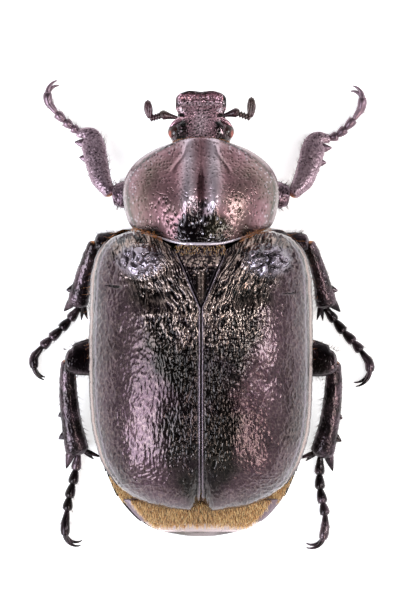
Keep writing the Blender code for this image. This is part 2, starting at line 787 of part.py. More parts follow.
def build():
    for old in list(bpy.data.objects):
        bpy.data.objects.remove(old)
    beetle = bpy.data.collections.new("hermit_beetle")
    bpy.context.scene.collection.children.link(beetle)

    bronze = chitin("bronze_brown_chitin", (0.06, 0.035, 0.038), 0.28, 0.25)
    dark = chitin("dark_chitin", (0.03, 0.017, 0.018), 0.35, 0.1)
    fur_band = chitin("golden_haired_segment", (0.32, 0.2, 0.06), 0.7)
    facets = chitin("eye", (0.12, 0.025, 0.015), 0.12)

    sides = {"left": -1, "right": 1}

    for side_name, side in sides.items():
        node(f"wing_case_{side_name}", wing_case(side), bronze, beetle)

    limbs = {}
    for name, leg in LEGS.items():
        pair_name, side_name = name.split("_")
        limbs[name] = (PAIRS[pair_name], leg, sides[side_name])

    def sockets(names):
        made = []
        for name in names:
            pair, leg, side = limbs[name]
            made += [coxa(pair, side, GAP), thigh(pair, leg, side, GAP)]
        return made

    front_names = [name for name in LEGS if name.startswith("front")]
    rear_names = [name for name in LEGS if not name.startswith("front")]

    shield = shield_body()
    whole = cut(trunk(), [moved(shield.copy(), -GAP), *sockets(rear_names)])
    seams = {
        "thorax": (WAIST_Y, 0.0, dark),
        "abdomen": (TAIL_SEGMENT_Y, 0.0, dark),
        "tail_segment": (TAIL_PLATE_Y, TAIL_PLATE_LEAN, fur_band),
    }
    for name, (rear, lean, material) in seams.items():
        node(name, cut(whole.copy(), [behind(rear, lean)]), material, beetle)
        whole = inside(whole, [behind(rear - GAP / math.cos(math.radians(lean)), lean)])
    node("tail_plate", whole, bronze, beetle)

    node("neck_shield", cut(shield, [head_body(GAP), *sockets(front_names)]), bronze, beetle)
    node("scutellum", scutellum(), bronze, beetle)
    node("head", cut(head_body(), [eye(side, GAP * 0.8) for side in sides.values()]), bronze, beetle)
    node("antenna_left", antenna(-1, (2.55, 13.55), (3.45, 13.3), (3.6, 14.6)), dark, beetle)
    node("antenna_right", antenna(1, (2.35, 13.7), (3.35, 13.35), (3.4, 14.8)), dark, beetle)
    for side_name, side in sides.items():
        node(f"eye_{side_name}", eye(side), facets, beetle)
        node(f"palp_{side_name}", cut(palp(side), [head_body(GAP)]), dark, beetle)

    for name, (pair, leg, side) in limbs.items():
        node(f"coxa_{name}", coxa(pair, side), dark, beetle)
        node(f"thigh_{name}", cut(thigh(pair, leg, side), [coxa(pair, side, GAP)]), dark, beetle)
        whole_shin = join([shin(pair, leg, side), *shin_spines(pair, leg, side)])
        node(f"shin_{name}", cut(whole_shin, [thigh(pair, leg, side, GAP)]), dark, beetle)
        clear = [shin(pair, leg, side, GAP)]
        node(f"foot_{name}", cut(foot(pair, leg, side), clear), dark, beetle, on_floor=True)


build()
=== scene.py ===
"""The looks of a hermit beetle: fine chitin plates, limbs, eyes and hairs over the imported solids.

Shapes are worked out in millimetres, x to the right, y towards the head and z up from the floor, and
each finished mesh is scaled to metres once. The sizes are those of the solids, which each piece replaces.
"""

import logging
import math
import random
from dataclasses import dataclass, field
from enum import Enum
from typing import Callable, Optional, Sequence

import bmesh
import bpy
import numpy as np
from mathutils import Matrix, Vector, noise

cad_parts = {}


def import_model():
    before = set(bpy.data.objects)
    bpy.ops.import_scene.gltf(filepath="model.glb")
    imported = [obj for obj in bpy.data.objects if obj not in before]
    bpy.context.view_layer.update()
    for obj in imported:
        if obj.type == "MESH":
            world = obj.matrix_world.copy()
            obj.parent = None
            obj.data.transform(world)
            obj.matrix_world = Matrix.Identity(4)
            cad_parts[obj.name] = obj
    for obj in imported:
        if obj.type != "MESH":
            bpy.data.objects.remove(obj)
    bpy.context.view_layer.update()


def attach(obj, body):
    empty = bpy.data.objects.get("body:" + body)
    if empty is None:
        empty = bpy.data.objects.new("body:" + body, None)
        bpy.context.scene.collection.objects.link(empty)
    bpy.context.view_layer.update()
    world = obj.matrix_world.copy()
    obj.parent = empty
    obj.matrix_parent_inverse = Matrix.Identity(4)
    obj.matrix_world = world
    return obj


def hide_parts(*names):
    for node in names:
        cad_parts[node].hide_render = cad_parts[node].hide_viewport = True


LOG = logging.getLogger("beetle")
MM = 0.001
UP = Vector((0.0, 0.0, 1.0))
SIDES = (-1.0, 1.0)
LEG_PITS = (0.2, 0.09)  # spacing and radius in millimetres
BAKE_MAP = "OFBake"
BAKE_PATCH = 0.003

Place = Callable[[float, float], Vector]
Tint = tuple[float, float, float, float]
Paint = Callable[[float, float], Tint]
Sockets = bpy.types.bpy_prop_collection
Pair = tuple[float, float]


class Side(Enum):
    """The beetle's left or right, as the sign of x."""

    LEFT = -1
    RIGHT = 1

    @property
    def label(self) -> str:
        """The word that node and piece names use."""
        return self.name.lower()

    def path(self, *places: Sequence[float]) -> list[Vector]:
        """Points on this side, from places whose x counts outwards from the middle line."""
        return [Vector((self.value * x, y, z)) for x, y, z in places]


# Curves and rules for shapes


def blend(low: float, high: float, share: float) -> float:
    """Goes from low to high while share goes from 0 to 1."""
    return low + (high - low) * share


def ease(share: float) -> float:
    """Rises smoothly from 0 to 1 while share does, and stays there outside that range."""
    share = min(max(share, 0.0), 1.0)
    return share * share * (3.0 - 2.0 * share)


def swell(distance: float, spread: float) -> float:
    """A bell curve: 1 at no distance, fading over the spread."""
    return math.exp(-((distance / spread) ** 2))


def fullness(share: float, roundness: float, power: float) -> float:
    """The height of a rounded profile: 1 in the middle and 0 where share is 1 or more."""
    return max(0.0, 1.0 - min(abs(share), 1.0) ** roundness) ** power


def rounded_end(share: float, start: float, end: float) -> float:
    """How wide a limb is along its length, 1 but for its two rounded ends.

    Args:
        share: place along the limb, 0 to 1.
        start: share of the length that the first end takes.
        end: share of the length that the last end takes.

    Returns:
        A factor from 0 to 1 for the limb's width.
    """
    if share < start:
        return math.sqrt(max(0.0, 1.0 - (1.0 - share / start) ** 2))
    if share > 1.0 - end:
        return math.sqrt(max(0.0, 1.0 - ((share - 1.0 + end) / end) ** 2))
    return 1.0


def section(across: float, top_share: float) -> tuple[float, bool]:
    """Goes round a flattened body, over its upper side and back underneath.

    Args:
        across: share of the way round, 0 to 1.
        top_share: the share of the faces that its upper side takes.

    Returns:
        The share of its half width, -1 to 1, and whether this is the upper side.
    """
    if across < top_share:
        return math.sin(math.pi * (across / top_share - 0.5)), True
    return math.sin(math.pi * (0.5 - (across - top_share) / (1.0 - top_share))), False


def opened(along: float, cap: float) -> float:
    """How far a closed body has opened, from 0 at both ends of its length to 1 between its caps."""
    return math.sin(math.pi / 2 * min(1.0, along / cap, (1.0 - along) / cap))


def without_caps(along: float, cap: float) -> float:
    """The share of the length between the caps, which take the cap's share at either end."""
    return min(max((along - cap) / (1.0 - 2.0 * cap), 0.0), 1.0)


def through(values: Sequence, share: float) -> float | Vector:
    """A smooth curve through evenly spaced numbers or points.

    Args:
        values: two or more numbers or vectors.
        share: place along them, 0 to 1.

    Returns:
        The number or vector there.
    """
    place = min(max(share, 0.0), 1.0) * (len(values) - 1)
    k = min(int(place), len(values) - 2)
    t = place - k
    a, b = values[k], values[k + 1]
    before = values[k - 1] if k > 0 else a + (a - b)
    after = values[k + 2] if k + 2 < len(values) else b + (b - a)
    return (
        a * (1.0 + t * t * (1.5 * t - 2.5)) + b * (t * (0.5 + t * (2.0 - 1.5 * t)))
        + before * (-0.5 * t * (1.0 - t) ** 2) + after * (0.5 * t * t * (t - 1.0))
    )


def crease(x: float, y: float, z: float, spacing: float, sharpness: float) -> float:
    """Thin winding lines, 1 on a line and 0 beside it, about one spacing apart."""
    return max(0.0, 1.0 - sharpness * abs(ripple(x, y, z, spacing)))


def pits(x: float, y: float, z: float, spacing: float, radius: float) -> float:
    """Round pits scattered at about one spacing.

    Args:
        x: place in millimetres.
        y: place in millimetres.
        z: place in millimetres, or a seed for a flat pattern.
        spacing: mean distance between pits.
        radius: radius of a pit.

    Returns:
        How deep the place lies in a pit, 0 to 1.
    """
    distances, _ = noise.voronoi(Vector((x, y, z)) / spacing)
    return 1.0 - ease(distances[0] * spacing / radius)


def ripple(x: float, y: float, z: float, spacing: float) -> float:
    """Soft noise from -1 to 1 whose bumps are about one spacing apart."""
    return noise.noise(Vector((x, y, z)) / spacing)


# Meshes


def skin(columns: int, rows: int, place: Place, tint: Paint) -> bmesh.types.BMesh:
    """Bends a grid into a closed body, whose first and last columns meet and whose ends run into a point.

    Args:
        columns: faces across.
        rows: faces along.
        place: gives the point for shares across and along, 0 to 1.
        tint: gives the Tone attribute for the same shares.

    Returns:
        The body in millimetres, facing out.
    """
    work = bmesh.new()
    bmesh.ops.create_grid(work, x_segments=columns, y_segments=rows, size=1.0)
    layer = work.verts.layers.float_color.new("Tone")
    for vert in work.verts:
        across, along = (vert.co.x + 1.0) / 2.0, (vert.co.y + 1.0) / 2.0
        vert[layer] = tint(across, along)
        vert.co = place(across, along)
    bmesh.ops.remove_doubles(work, verts=work.verts, dist=1e-5)
    bmesh.ops.recalc_face_normals(work, faces=work.faces)
    return work


def limb(points: Sequence[Vector], widths: Sequence[float], heights: Sequence[float], sides: int,
         rows: int, ends: Pair = (0.06, 0.06), floor: bool = False, tone: float = 0.0,
         pit_depth: float = 0.0, cuff: float = 0.0, pale: float = 0.0, side_highlight: float = 0.0,
         ) -> bmesh.types.BMesh:
    """A rounded limb along a path, oval in section.

    Args:
        points: path of the middle line.
        widths: half widths along it.
        heights: half heights along it.
        sides: faces round it.
        rows: faces along it.
        ends: shares of the length that the rounded ends take.
        floor: whether it is kept flat where it would reach below the floor.
        tone: how much sheen it has, from 0 to 1.
        pit_depth: depth of its scattered pits, in millimetres.
        cuff: how strongly its start is coloured by the joint's membrane, 0 to 1.
        pale: how far it is towards the pale ridge colour, 0 to 1.
        side_highlight: painted highlight on one side: how much more sheen it has to the right of its path, or
            less, below 0.

    Returns:
        The closed limb in millimetres.
    """

    def place(across: float, along: float) -> Vector:
        """One point of the limb.

        Args:
            across: share of the way round.
            along: share of the length.

        Returns:
            The point in millimetres.
        """
        share = blend(along, 0.5 - 0.5 * math.cos(math.pi * along), 0.5)
        middle = through(points, share)
        step = 0.01
        ahead = through(points, min(share + step, 1.0)) - through(points, max(share - step, 0.0))
        ahead.normalize()
        outwards = ahead.cross(UP).normalized()
        up = outwards.cross(ahead)
        turn = 2.0 * math.pi * across
        end = rounded_end(share, *ends)
        arm = (
            outwards * (through(widths, share) * end * math.cos(turn))
            + up * (through(heights, share) * end * math.sin(turn))
        )
        point = middle + arm
        if pit_depth and end > 0.7:
            depth = pit_depth * pits(*point, *LEG_PITS) + 0.5 * pit_depth * ripple(*point, 0.3)
            point -= arm.normalized() * depth
        if floor:
            point.z = max(point.z, 0.0)
        return point

    def tint(across: float, along: float) -> Tint:
        """Sheen between pits darkened by painted shade, a painted highlight on one side, and the cuff.

        Args:
            across: share of the way round.
            along: share of the length.

        Returns:
            The Tone attribute.
        """
        membrane = cuff * swell(along, 0.03)
        # A painted highlight on the side of the limb where the light falls.
        sheen = max(0.0, tone + side_highlight * math.cos(2.0 * math.pi * across))
        if not pit_depth:
            return membrane, sheen, pale, 1.0
        point = place(across, along)
        # Painted shade in the pits.
        clear = 1.0 - 0.6 * pits(*point, *LEG_PITS)
        speck = 1.0 + 1.7 * ripple(*point, 0.1)
        worn = 0.6 + 3.4 * ripple(point.x, point.y, point.z + 40.0, 0.11)
        return membrane, max(0.0, sheen * clear * speck), min(1.0, max(0.0, pale * worn)) * clear, 1.0

    return skin(sides, rows, place, tint)


def bead(points: Sequence[Vector], sizes: Sequence[float], sides: int, rows: int, ends: Pair,
         **looks) -> bmesh.types.BMesh:
    """A limb that is round in section. The looks are those of a limb."""
    return limb(points, sizes, sizes, sides, rows, ends=ends, **looks)


def thorn(root: Vector, tip: Vector, radius: float, tone: float, height: float = 0.75) -> bmesh.types.BMesh:
    """A pointed tooth or spur.

    Args:
        root: where it starts.
        tip: where it ends.
        radius: its half width at the root, in millimetres.
        tone: how much sheen it has, 0 to 1.
        height: its height as a share of its width.

    Returns:
        The closed thorn in millimetres.
    """
    path = [root, root.lerp(tip, 0.35), root.lerp(tip, 0.7), tip]
    sizes = [radius, radius * 0.85, radius * 0.5, radius * 0.1]
    return limb(path, sizes, [size * height for size in sizes], 12, 14, ends=(0.12, 0.03), tone=tone)


def joined(works: Sequence[bmesh.types.BMesh]) -> bmesh.types.BMesh:
    """Puts several meshes into one.

    Args:
        works: the meshes, of which all but the first are used up.

    Returns:
        The first, with the others in it.
    """
    whole = works[0]
    for other in works[1:]:
        mesh = bpy.data.meshes.new("joining")
        other.to_mesh(mesh)
        other.free()
        whole.from_mesh(mesh)
        bpy.data.meshes.remove(mesh)
    return whole


# Finishes


def linear(code: str) -> Tint:
    """Turns an sRGB hex colour into linear red, green, blue and alpha."""
    channels = [int(code[i:i + 2], 16) / 255.0 for i in (1, 3, 5)]
    return (*[c / 12.92 if c <= 0.04045 else ((c + 0.055) / 1.055) ** 2.4 for c in channels], 1.0)


def add_node(tree: bpy.types.NodeTree, kind: str, inputs: Optional[dict] = None,
             **settings) -> bpy.types.Node:
    """Adds a shader node.

    Args:
        tree: the material's or world's tree.
        kind: the node's type name.
        inputs: socket names or numbers, each with a value or with another node's output to link.
        settings: the node's own properties.

    Returns:
        The new node.
    """
    made = tree.nodes.new(kind)
    for key, value in settings.items():
        setattr(made, key, value)
    for key, value in (inputs or {}).items():
        if isinstance(value, bpy.types.NodeSocket):
            tree.links.new(value, made.inputs[key])
        else:
            made.inputs[key].default_value = value
    return made


@dataclass(frozen=True)
class Finish:
    """What every finish of the beetle has: a name, a slot, and nodes that dress its shader."""

    name: str
    slot: str

    def material(self) -> bpy.types.Material:
        """The procedural material, made once, which reads the piece's Tone attribute.

        Returns:
            The material.
        """
        if self.name in bpy.data.materials:
            return bpy.data.materials[self.name]
        material = bpy.data.materials.new(self.name)
        material.use_nodes = True
        tree = material.node_tree
        tone = add_node(tree, "ShaderNodeAttribute", attribute_name="Tone")
        parts = add_node(tree, "ShaderNodeSeparateColor", {"Color": tone.outputs["Color"]})
        self.dress(tree, tree.nodes["Principled BSDF"].inputs, parts.outputs)
        return material

    def dress(self, tree: bpy.types.NodeTree, shader: Sockets, tone: Sockets) -> None:
        """Adds the nodes of the finish.

        Args:
            tree: the material's tree.
            shader: the inputs of its Principled shader.
            tone: the Red, Green and Blue outputs of the Tone attribute.
        """
        raise NotImplementedError

    def mixed(self, tree: bpy.types.NodeTree, start: str,
              steps: Sequence[tuple[bpy.types.NodeSocket, str]]) -> bpy.types.NodeSocket:
        """Goes from one colour to others in turn.

        Args:
            tree: the material's tree.
            start: the first colour, as sRGB hex.
            steps: outputs that give a share, each with the further colour.

        Returns:
            The colour output.
        """
        colour = linear(start)
        for share, code in steps:
            colour = add_node(tree, "ShaderNodeMix", {"Factor": share, "A": colour, "B": linear(code)},
                              data_type="RGBA").outputs["Result"]
        return colour


@dataclass(frozen=True)
class Chitin(Finish):
    """Beetle chitin: hardened, layered cuticle with a waxy gloss, thin-film sheen and fine pits.

    The piece's Tone attribute moves it from the deep colour to the sheen (green), towards the pale ridge
    colour (blue), which mostly paints highlights on ridges and glints in pits, and towards the pale rim
    (red).
    Sizes are those of the real patches, grain and pits, or as coarse as they need to be to show.
    """

    deep: str
    sheen: str
    ridge: str
    rim: str = "#a5928f"
    drift: str = "#6d6a52"  # the greenish cast that thin-film colour drifts to
    drift_amount: float = 0.3
    metallic: float = 0.35
    roughness: float = 0.34
    coat: float = 0.5
    coat_roughness: float = 0.12
    patch_mm: float = 2.4
    grain_mm: float = 0.07
    grain_depth: float = 0.12
    pit_mm: float = 0.0
    pit_depth: float = 0.5

    def dress(self, tree: bpy.types.NodeTree, shader: Sockets, tone: Sockets) -> None:
        """Drifting sheen patches, a pale colour for painted highlights and glints, rims, varied gloss, fine
        grain with pits.

        Args:
            tree: the material's tree.
            shader: the inputs of its Principled shader.
            tone: the Red, Green and Blue outputs of the Tone attribute.
        """
        spot = add_node(tree, "ShaderNodeTexCoord").outputs["Object"]
        patches = add_node(tree, "ShaderNodeTexNoise", {
            "Vector": spot, "Scale": 1.0 / (self.patch_mm * MM), "Detail": 3.0, "Roughness": 0.55,
        })
        spread = add_node(tree, "ShaderNodeMapRange", {
            "Value": patches.outputs["Fac"], "From Min": 0.35, "From Max": 0.65,
            "To Min": -0.22, "To Max": 0.22,
        })
        share = add_node(tree, "ShaderNodeMath", {0: tone["Green"], 1: spread.outputs["Result"]},
                         operation="ADD", use_clamp=True).outputs["Value"]
        far = add_node(tree, "ShaderNodeMapping", {"Vector": spot, "Location": (0.013, 0.007, 0.011)})
        film = add_node(tree, "ShaderNodeTexNoise", {
            "Vector": far.outputs["Vector"], "Scale": 0.7 / (self.patch_mm * MM), "Detail": 2.0,
        })
        cast = add_node(tree, "ShaderNodeMapRange", {
            "Value": film.outputs["Fac"], "From Min": 0.45, "From Max": 0.68, "To Max": self.drift_amount,
        })
        colour = self.mixed(tree, self.deep, (
            (share, self.sheen), (cast.outputs["Result"], self.drift),
            (tone["Blue"], self.ridge), (tone["Red"], self.rim),
        ))
        grain = add_node(tree, "ShaderNodeTexNoise", {
            "Vector": spot, "Scale": 1.0 / (self.grain_mm * MM), "Detail": 3.0,
        })
        bump = add_node(tree, "ShaderNodeBump", {
            "Strength": self.grain_depth, "Distance": 0.2 * self.grain_mm * MM,
            "Height": grain.outputs["Fac"],
        })
        if self.pit_mm:
            scale = 1.0 / (self.pit_mm * MM)
            cells = add_node(tree, "ShaderNodeTexVoronoi", {"Vector": spot, "Scale": scale})
            cup = add_node(tree, "ShaderNodeMapRange", {
                "Value": cells.outputs["Distance"], "From Min": 0.08, "From Max": 0.3,
            }, interpolation_type="SMOOTHSTEP")
            bump = add_node(tree, "ShaderNodeBump", {
                "Strength": self.pit_depth, "Distance": 0.2 * self.pit_mm * MM,
                "Height": cup.outputs["Result"], "Normal": bump.outputs["Normal"],
            })
        # Where the Tone is blue, mostly painted highlights and glints, the chitin is less metallic, so that
        # they stay pale.
        for socket, value, low, high in (
            ("Roughness", share, self.roughness - 0.1, self.roughness + 0.04),
            ("Metallic", tone["Blue"], self.metallic, 0.55 * self.metallic),
        ):
            ramp = add_node(tree, "ShaderNodeMapRange", {"Value": value, "To Min": low, "To Max": high})
            tree.links.new(ramp.outputs["Result"], shader[socket])
        tree.links.new(colour, shader["Base Color"])
        tree.links.new(bump.outputs["Normal"], shader["Normal"])
        shader["IOR"].default_value = 1.56
        shader["Coat Weight"].default_value = self.coat
        shader["Coat Roughness"].default_value = self.coat_roughness
        shader["Coat IOR"].default_value = 1.5


@dataclass(frozen=True)
class Facets(Finish):
    """A compound eye: a clear, domed, faceted cornea over dark red pigment."""

    deep: str = "#2a110e"
    glow: str = "#a83c18"
    facet_mm: float = 0.06  # coarser than the real 0.02 mm lenses, so that they show

    def dress(self, tree: bpy.types.NodeTree, shader: Sockets, tone: Sockets) -> None:
        """Dark pigment that glows where the Tone attribute is red, under domed lenses.

        Args:
            tree: the material's tree.
            shader: the inputs of its Principled shader.
            tone: the Red, Green and Blue outputs of the Tone attribute.
        """
        spot = add_node(tree, "ShaderNodeTexCoord").outputs["Object"]
        cells = add_node(tree, "ShaderNodeTexVoronoi", {"Vector": spot, "Scale": 1.0 / (self.facet_mm * MM)})
        bump = add_node(tree, "ShaderNodeBump", {
            "Strength": 0.35, "Distance": 0.2 * self.facet_mm * MM, "Height": cells.outputs["Distance"],
        }, invert=True)
        tree.links.new(self.mixed(tree, self.deep, ((tone["Red"], self.glow),)), shader["Base Color"])
        tree.links.new(bump.outputs["Normal"], shader["Normal"])
        shader["Roughness"].default_value = 0.3
        shader["Coat Weight"].default_value = 0.25
        shader["Coat Roughness"].default_value = 0.12


@dataclass(frozen=True)
class Seta(Finish):
    """Beetle hair (setae): thin tapered bristles of clear to amber chitin."""

    root: str
    tip: str

    def dress(self, tree: bpy.types.NodeTree, shader: Sockets, tone: Sockets) -> None:
        """Paler towards the tip, where the Tone attribute is green, and varied from hair to hair by its red.

        Args:
            tree: the material's tree.
            shader: the inputs of its Principled shader.
            tone: the Red, Green and Blue outputs of the Tone attribute.
        """
        share = add_node(tree, "ShaderNodeMath", {0: tone["Green"], 1: tone["Red"], 2: 0.15},
                         operation="MULTIPLY_ADD", use_clamp=True)
        colour = self.mixed(tree, self.root, ((share.outputs["Value"], self.tip),))
        tree.links.new(colour, shader["Base Color"])
        shader["Roughness"].default_value = 0.42
        shader["IOR"].default_value = 1.55


# Wing cases: waxed and wrinkled, nearly black, with a mauve metallic satin where they are smooth.
# Its pale ridge colour paints highlights on the wrinkle crests and glints on the scutellum; its rim colour is
# the pale seam and edge, and a painted highlight on the shoulder knobs.
WING_CHITIN = Chitin(
    "wing_case_chitin", "bronze_chitin", deep="#0d090a", sheen="#4b3840", ridge="#c4aca1", rim="#9d94a1",
    metallic=0.9, roughness=0.27, coat=0.22, coat_roughness=0.06, grain_mm=0.2, grain_depth=0.26,
    drift_amount=0.04,
)
# Neck shield: polished between its pits, so it mirrors light in soft bronze and lilac patches.
# Its near-white ridge colour paints highlights on the ridges and glints in the pits, and also colours the
# pale edge bead.
SHIELD_CHITIN = Chitin(
    "neck_shield_chitin", "bronze_chitin", deep="#150c10", sheen="#8e686f", ridge="#ddd3de", rim="#a99a9c",
    metallic=0.9, roughness=0.33, coat=0.3, coat_roughness=0.12, drift_amount=0.3, grain_mm=0.2,
    grain_depth=0.1,
)
# Head: so densely pitted that its gloss breaks up into small lilac points.
HEAD_CHITIN = Chitin(
    "pitted_head_chitin", "head_chitin", deep="#0d0709", sheen="#c294a1", ridge="#ecdae2", metallic=0.8,
    roughness=0.26, coat=0.3, coat_roughness=0.08, grain_mm=0.2, grain_depth=0.15, patch_mm=1.4,
    drift_amount=0.08,
)
# Underside: dark, half glossy and coarsely pitted, and quiet under its hair.
BODY_CHITIN = Chitin(
    "underside_chitin", "dark_chitin", deep="#1e1415", sheen="#4b3436", ridge="#6f5750", metallic=0.6,
    roughness=0.3, coat=0.3, pit_mm=0.42, pit_depth=0.4, grain_mm=0.3, grain_depth=0.1,
)
# Tail plate: pale and polished, a bright line behind the fur.
PLATE_CHITIN = Chitin(
    "tail_plate_chitin", "bronze_chitin", deep="#2b1d1c", sheen="#dccaca", ridge="#dccaca", metallic=0.7,
    roughness=0.24, pit_mm=0.3, pit_depth=0.25, grain_mm=0.3, grain_depth=0.1,
)
# Haired segment: matt brown between the hairs, with bare lilac margins.
BAND_CHITIN = Chitin(
    "haired_segment_chitin", "haired_chitin", deep="#3a2414", sheen="#8a6434", ridge="#75656f", metallic=0.5,
    roughness=0.5, coat=0.1, pit_mm=0.16, pit_depth=0.6, grain_mm=0.2,
)
# Legs: hard and pitted, with a thin gloss in specks and amber membrane at the joints.
LEG_CHITIN = Chitin(
    "pitted_leg_chitin", "leg_chitin", deep="#1c1317", sheen="#947a87", ridge="#ab929c", rim="#c07a35",
    metallic=0.8, roughness=0.34, coat=0.2, coat_roughness=0.08, pit_mm=0.24, pit_depth=0.4, patch_mm=1.2,
    grain_mm=0.25, grain_depth=0.12, drift_amount=0.06,
)
# Feelers and palps: smooth and thin, and so a little redder than the rest.
FEELER_CHITIN = Chitin(
    "antenna_chitin", "feeler_chitin", deep="#1f1113", sheen="#543840", ridge="#8d6b66", metallic=0.6,
    roughness=0.28, pit_mm=0.24, pit_depth=0.4, patch_mm=0.8, grain_mm=0.2,
)
# Eyes: a clear, glossy cornea under which the pigment glows red at the rim.
EYE_FACETS = Facets("compound_eye_cornea", "eye")
# Hair is translucent: dark at its root and nearly white where its tip is lit.
GOLD_SETA = Seta("golden_setae", "haired_chitin", root="#a9642a", tip="#ffe6aa")
ORANGE_SETA = Seta("orange_setae", "haired_chitin", root="#9a5320", tip="#e8a368")
LEG_SETA = Seta("reddish_setae", "leg_chitin", root="#3a1c14", tip="#8a5640")


def placed(name: str, data: bpy.types.ID) -> bpy.types.Object:
    """Makes an object of a mesh, light or camera, at the origin of the scene.

    Args:
        name: the object's name.
        data: the mesh, light or camera.

    Returns:
        The object.
    """
    made = bpy.data.objects.new(name, data)
    bpy.context.scene.collection.objects.link(made)
    return made


def keep(work: bmesh.types.BMesh, finish: Finish, node: str = "", name: str = "") -> None:
    """Turns a mesh into a finished piece of the beetle.

    Args:
        work: the mesh in millimetres, which is used up.
        finish: what it is made of.
        node: the solid that it stands for, if there is one.
        name: the piece's name, unless it is the solid's name and the word chitin.
    """
    name = name or f"{node}_chitin"
    bmesh.ops.transform(work, matrix=Matrix.Scale(MM, 4), verts=work.verts)
    mesh = bpy.data.meshes.new(name)
    work.to_mesh(mesh)
    work.free()
    keep_mesh(mesh, finish, node)


def keep_mesh(mesh: bpy.types.Mesh, finish: Finish, node: str = "") -> None:
    """Makes a finished piece of a mesh in metres, with its material, body and solid.

    Args:
        mesh: the mesh, which has the piece's name.
        finish: what it is made of.
        node: the solid that it stands for, if there is one.
    """
    mesh.shade_smooth()
    mesh.materials.append(finish.material())
    piece = placed(mesh.name, mesh)
    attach(piece, "root")
    if node:
        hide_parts(node)
    LOG.info("%s: %d faces", mesh.name, len(mesh.polygons))


# Wing cases


@dataclass
class WingCases:
    """The pair of domed wing cases, wrinkled towards the seam and smooth towards the edge."""

    half_width: float = 7.5
    widest_y: float = -3.0
    front_reach: float = 8.8
    rear_reach: float = 10.2
    thickness: float = 0.5
    crown: float = 11.2
    tail_z: float = 5.8
    tail_notch: float = 0.95
    shoulder_y: float = 5.15
    tail_corner_y: float = -11.3
    scutellum_tip_y: float = 0.5
    scutellum_base_y: float = 4.35
    scutellum_slope: float = 0.4175
    seam_gap: float = 0.05
    wrinkle_width: float = 0.155
    wrinkle_length: float = 0.95
    wrinkle_height: float = 0.085
    top_share: float = 0.8  # of the faces round it, for the outer side
    columns: int = 240
    rows: int = 330

    def half_width_at(self, y: float) -> float:
        """Half the width of the pair at a length along the body."""
        if y > self.widest_y:
            return self.half_width * fullness((y - self.widest_y) / self.front_reach, 5.0, 0.17)
        return self.half_width * fullness((self.widest_y - y) / self.rear_reach, 3.2, 0.385)

    def notch_at(self, x: float) -> float:
        """How far the tail edge is drawn forward beside the seam."""
        return self.tail_notch * max(0.0, 1.0 - x) ** 2

    def tail_y(self, x: float) -> float:
        """Where the tail edge lies."""
        return self.widest_y - self.rear_reach * fullness(x / self.half_width, 2.6, 0.3125) + self.notch_at(x)

    def crown_at(self, y: float) -> float:
        """Height of the middle line."""
        if y > 0:
            return self.crown - 1.2 * (y / 5.7) ** 2
        return self.tail_z + (self.crown - self.tail_z) * fullness(y / 13.3, 2.6, 0.6)

    def height(self, x: float, y: float) -> float:
        """Height of the plain dome."""
        edge = 5.5 + 1.1 * ease((y - 2.0) / 3.5)
        crown = self.crown_at(y - self.notch_at(x) * ease((-9.0 - y) / 3.0))
        return edge + (crown - edge) * fullness(x / max(self.half_width_at(y), 0.2), 2.6, 0.55)

    def inner_x(self, y: float) -> float:
        """Where the inner edge lies, beside the seam or the scutellum."""
        return self.seam_gap + self.scutellum_slope * max(0.0, y - self.scutellum_tip_y)

    def plan(self, along: float, across: float) -> Vector:
        """A point seen from above, from the four edges, for shares from the front and from the seam.

        Args:
            along: share of the way from the front to the tail.
            across: share of the way from the seam to the edge.

        Returns:
            The point in millimetres, x outwards.
        """
        one = 1.0 - across
        front_inner = Vector((self.inner_x(self.scutellum_base_y), self.scutellum_base_y))
        front_outer = Vector((self.half_width_at(self.shoulder_y), self.shoulder_y))
        rear_outer = Vector((self.half_width_at(self.tail_corner_y), self.tail_corner_y))
        rear_inner = Vector((self.seam_gap, self.tail_y(self.seam_gap)))
        seam_y = blend(self.scutellum_base_y, rear_inner.y, along)
        edge_y = blend(self.shoulder_y, self.tail_corner_y, along)
        rear_x = blend(self.seam_gap, rear_outer.x, across)
        front = (
            front_inner * one**3 + Vector((3.0, 5.45)) * (3 * one**2 * across)
            + Vector((4.9, 6.25)) * (3 * one * across**2) + front_outer * across**3
        )
        edge = Vector((self.half_width_at(edge_y), edge_y))
        sides = Vector((self.inner_x(seam_y), seam_y)) * one + edge * across
        ends = front * (1 - along) + Vector((rear_x, self.tail_y(rear_x))) * along
        corners = (
            front_inner * ((1 - along) * one) + front_outer * ((1 - along) * across)
            + rear_inner * (along * one) + rear_outer * (along * across)
        )
        return sides + ends - corners

    def normal(self, x: float, y: float) -> Vector:
        """The way out of the dome, taken a little inside its edge, where the slope is still finite.

        Args:
            x: place outwards, in millimetres.
            y: place along the body, in millimetres.

        Returns:
            The way, of length 1.
        """
        x, y = blend(x, self.half_width * 0.4, 0.03), blend(y, self.widest_y, 0.02)
        step = 0.03
        slope_x = (self.height(x + step, y) - self.height(x - step, y)) / (2 * step)
        slope_y = (self.height(x, y + step) - self.height(x, y - step)) / (2 * step)
        return Vector((-slope_x, -slope_y, 1.0)).normalized()

    def wrinkled(self, x: float, y: float, side: Side) -> float:
        """How strongly the seam half is wrinkled at a place, 0 to 1.

        Args:
            x: place outwards, in millimetres.
            y: place along the body, in millimetres.
            side: which wing case.

        Returns:
            A share from 0 to 1.
        """
        reach = (x - self.inner_x(y)) / (self.half_width_at(y) + 0.01)
        sway = 0.12 * ripple(x, y, side.value * 7.0, 2.2) + 0.07 * ripple(x, y, side.value * 3.0, 0.7)
        start = blend(0.06, 0.3, ease((y + 5.0) / 5.0))
        inner = 1.0 - ease((reach - start - 0.8 * sway) / 0.42)
        inner *= ease((x - self.inner_x(y) - 0.06) / 0.1)
        knob = 1.0 - 0.8 * (1.0 - ease((self.knob_reach(x, y, side) - 0.65) / 0.3))
        tail = 1.0 - 0.5 * ease((-10.4 - y) / 2.2)
        return inner * knob * tail

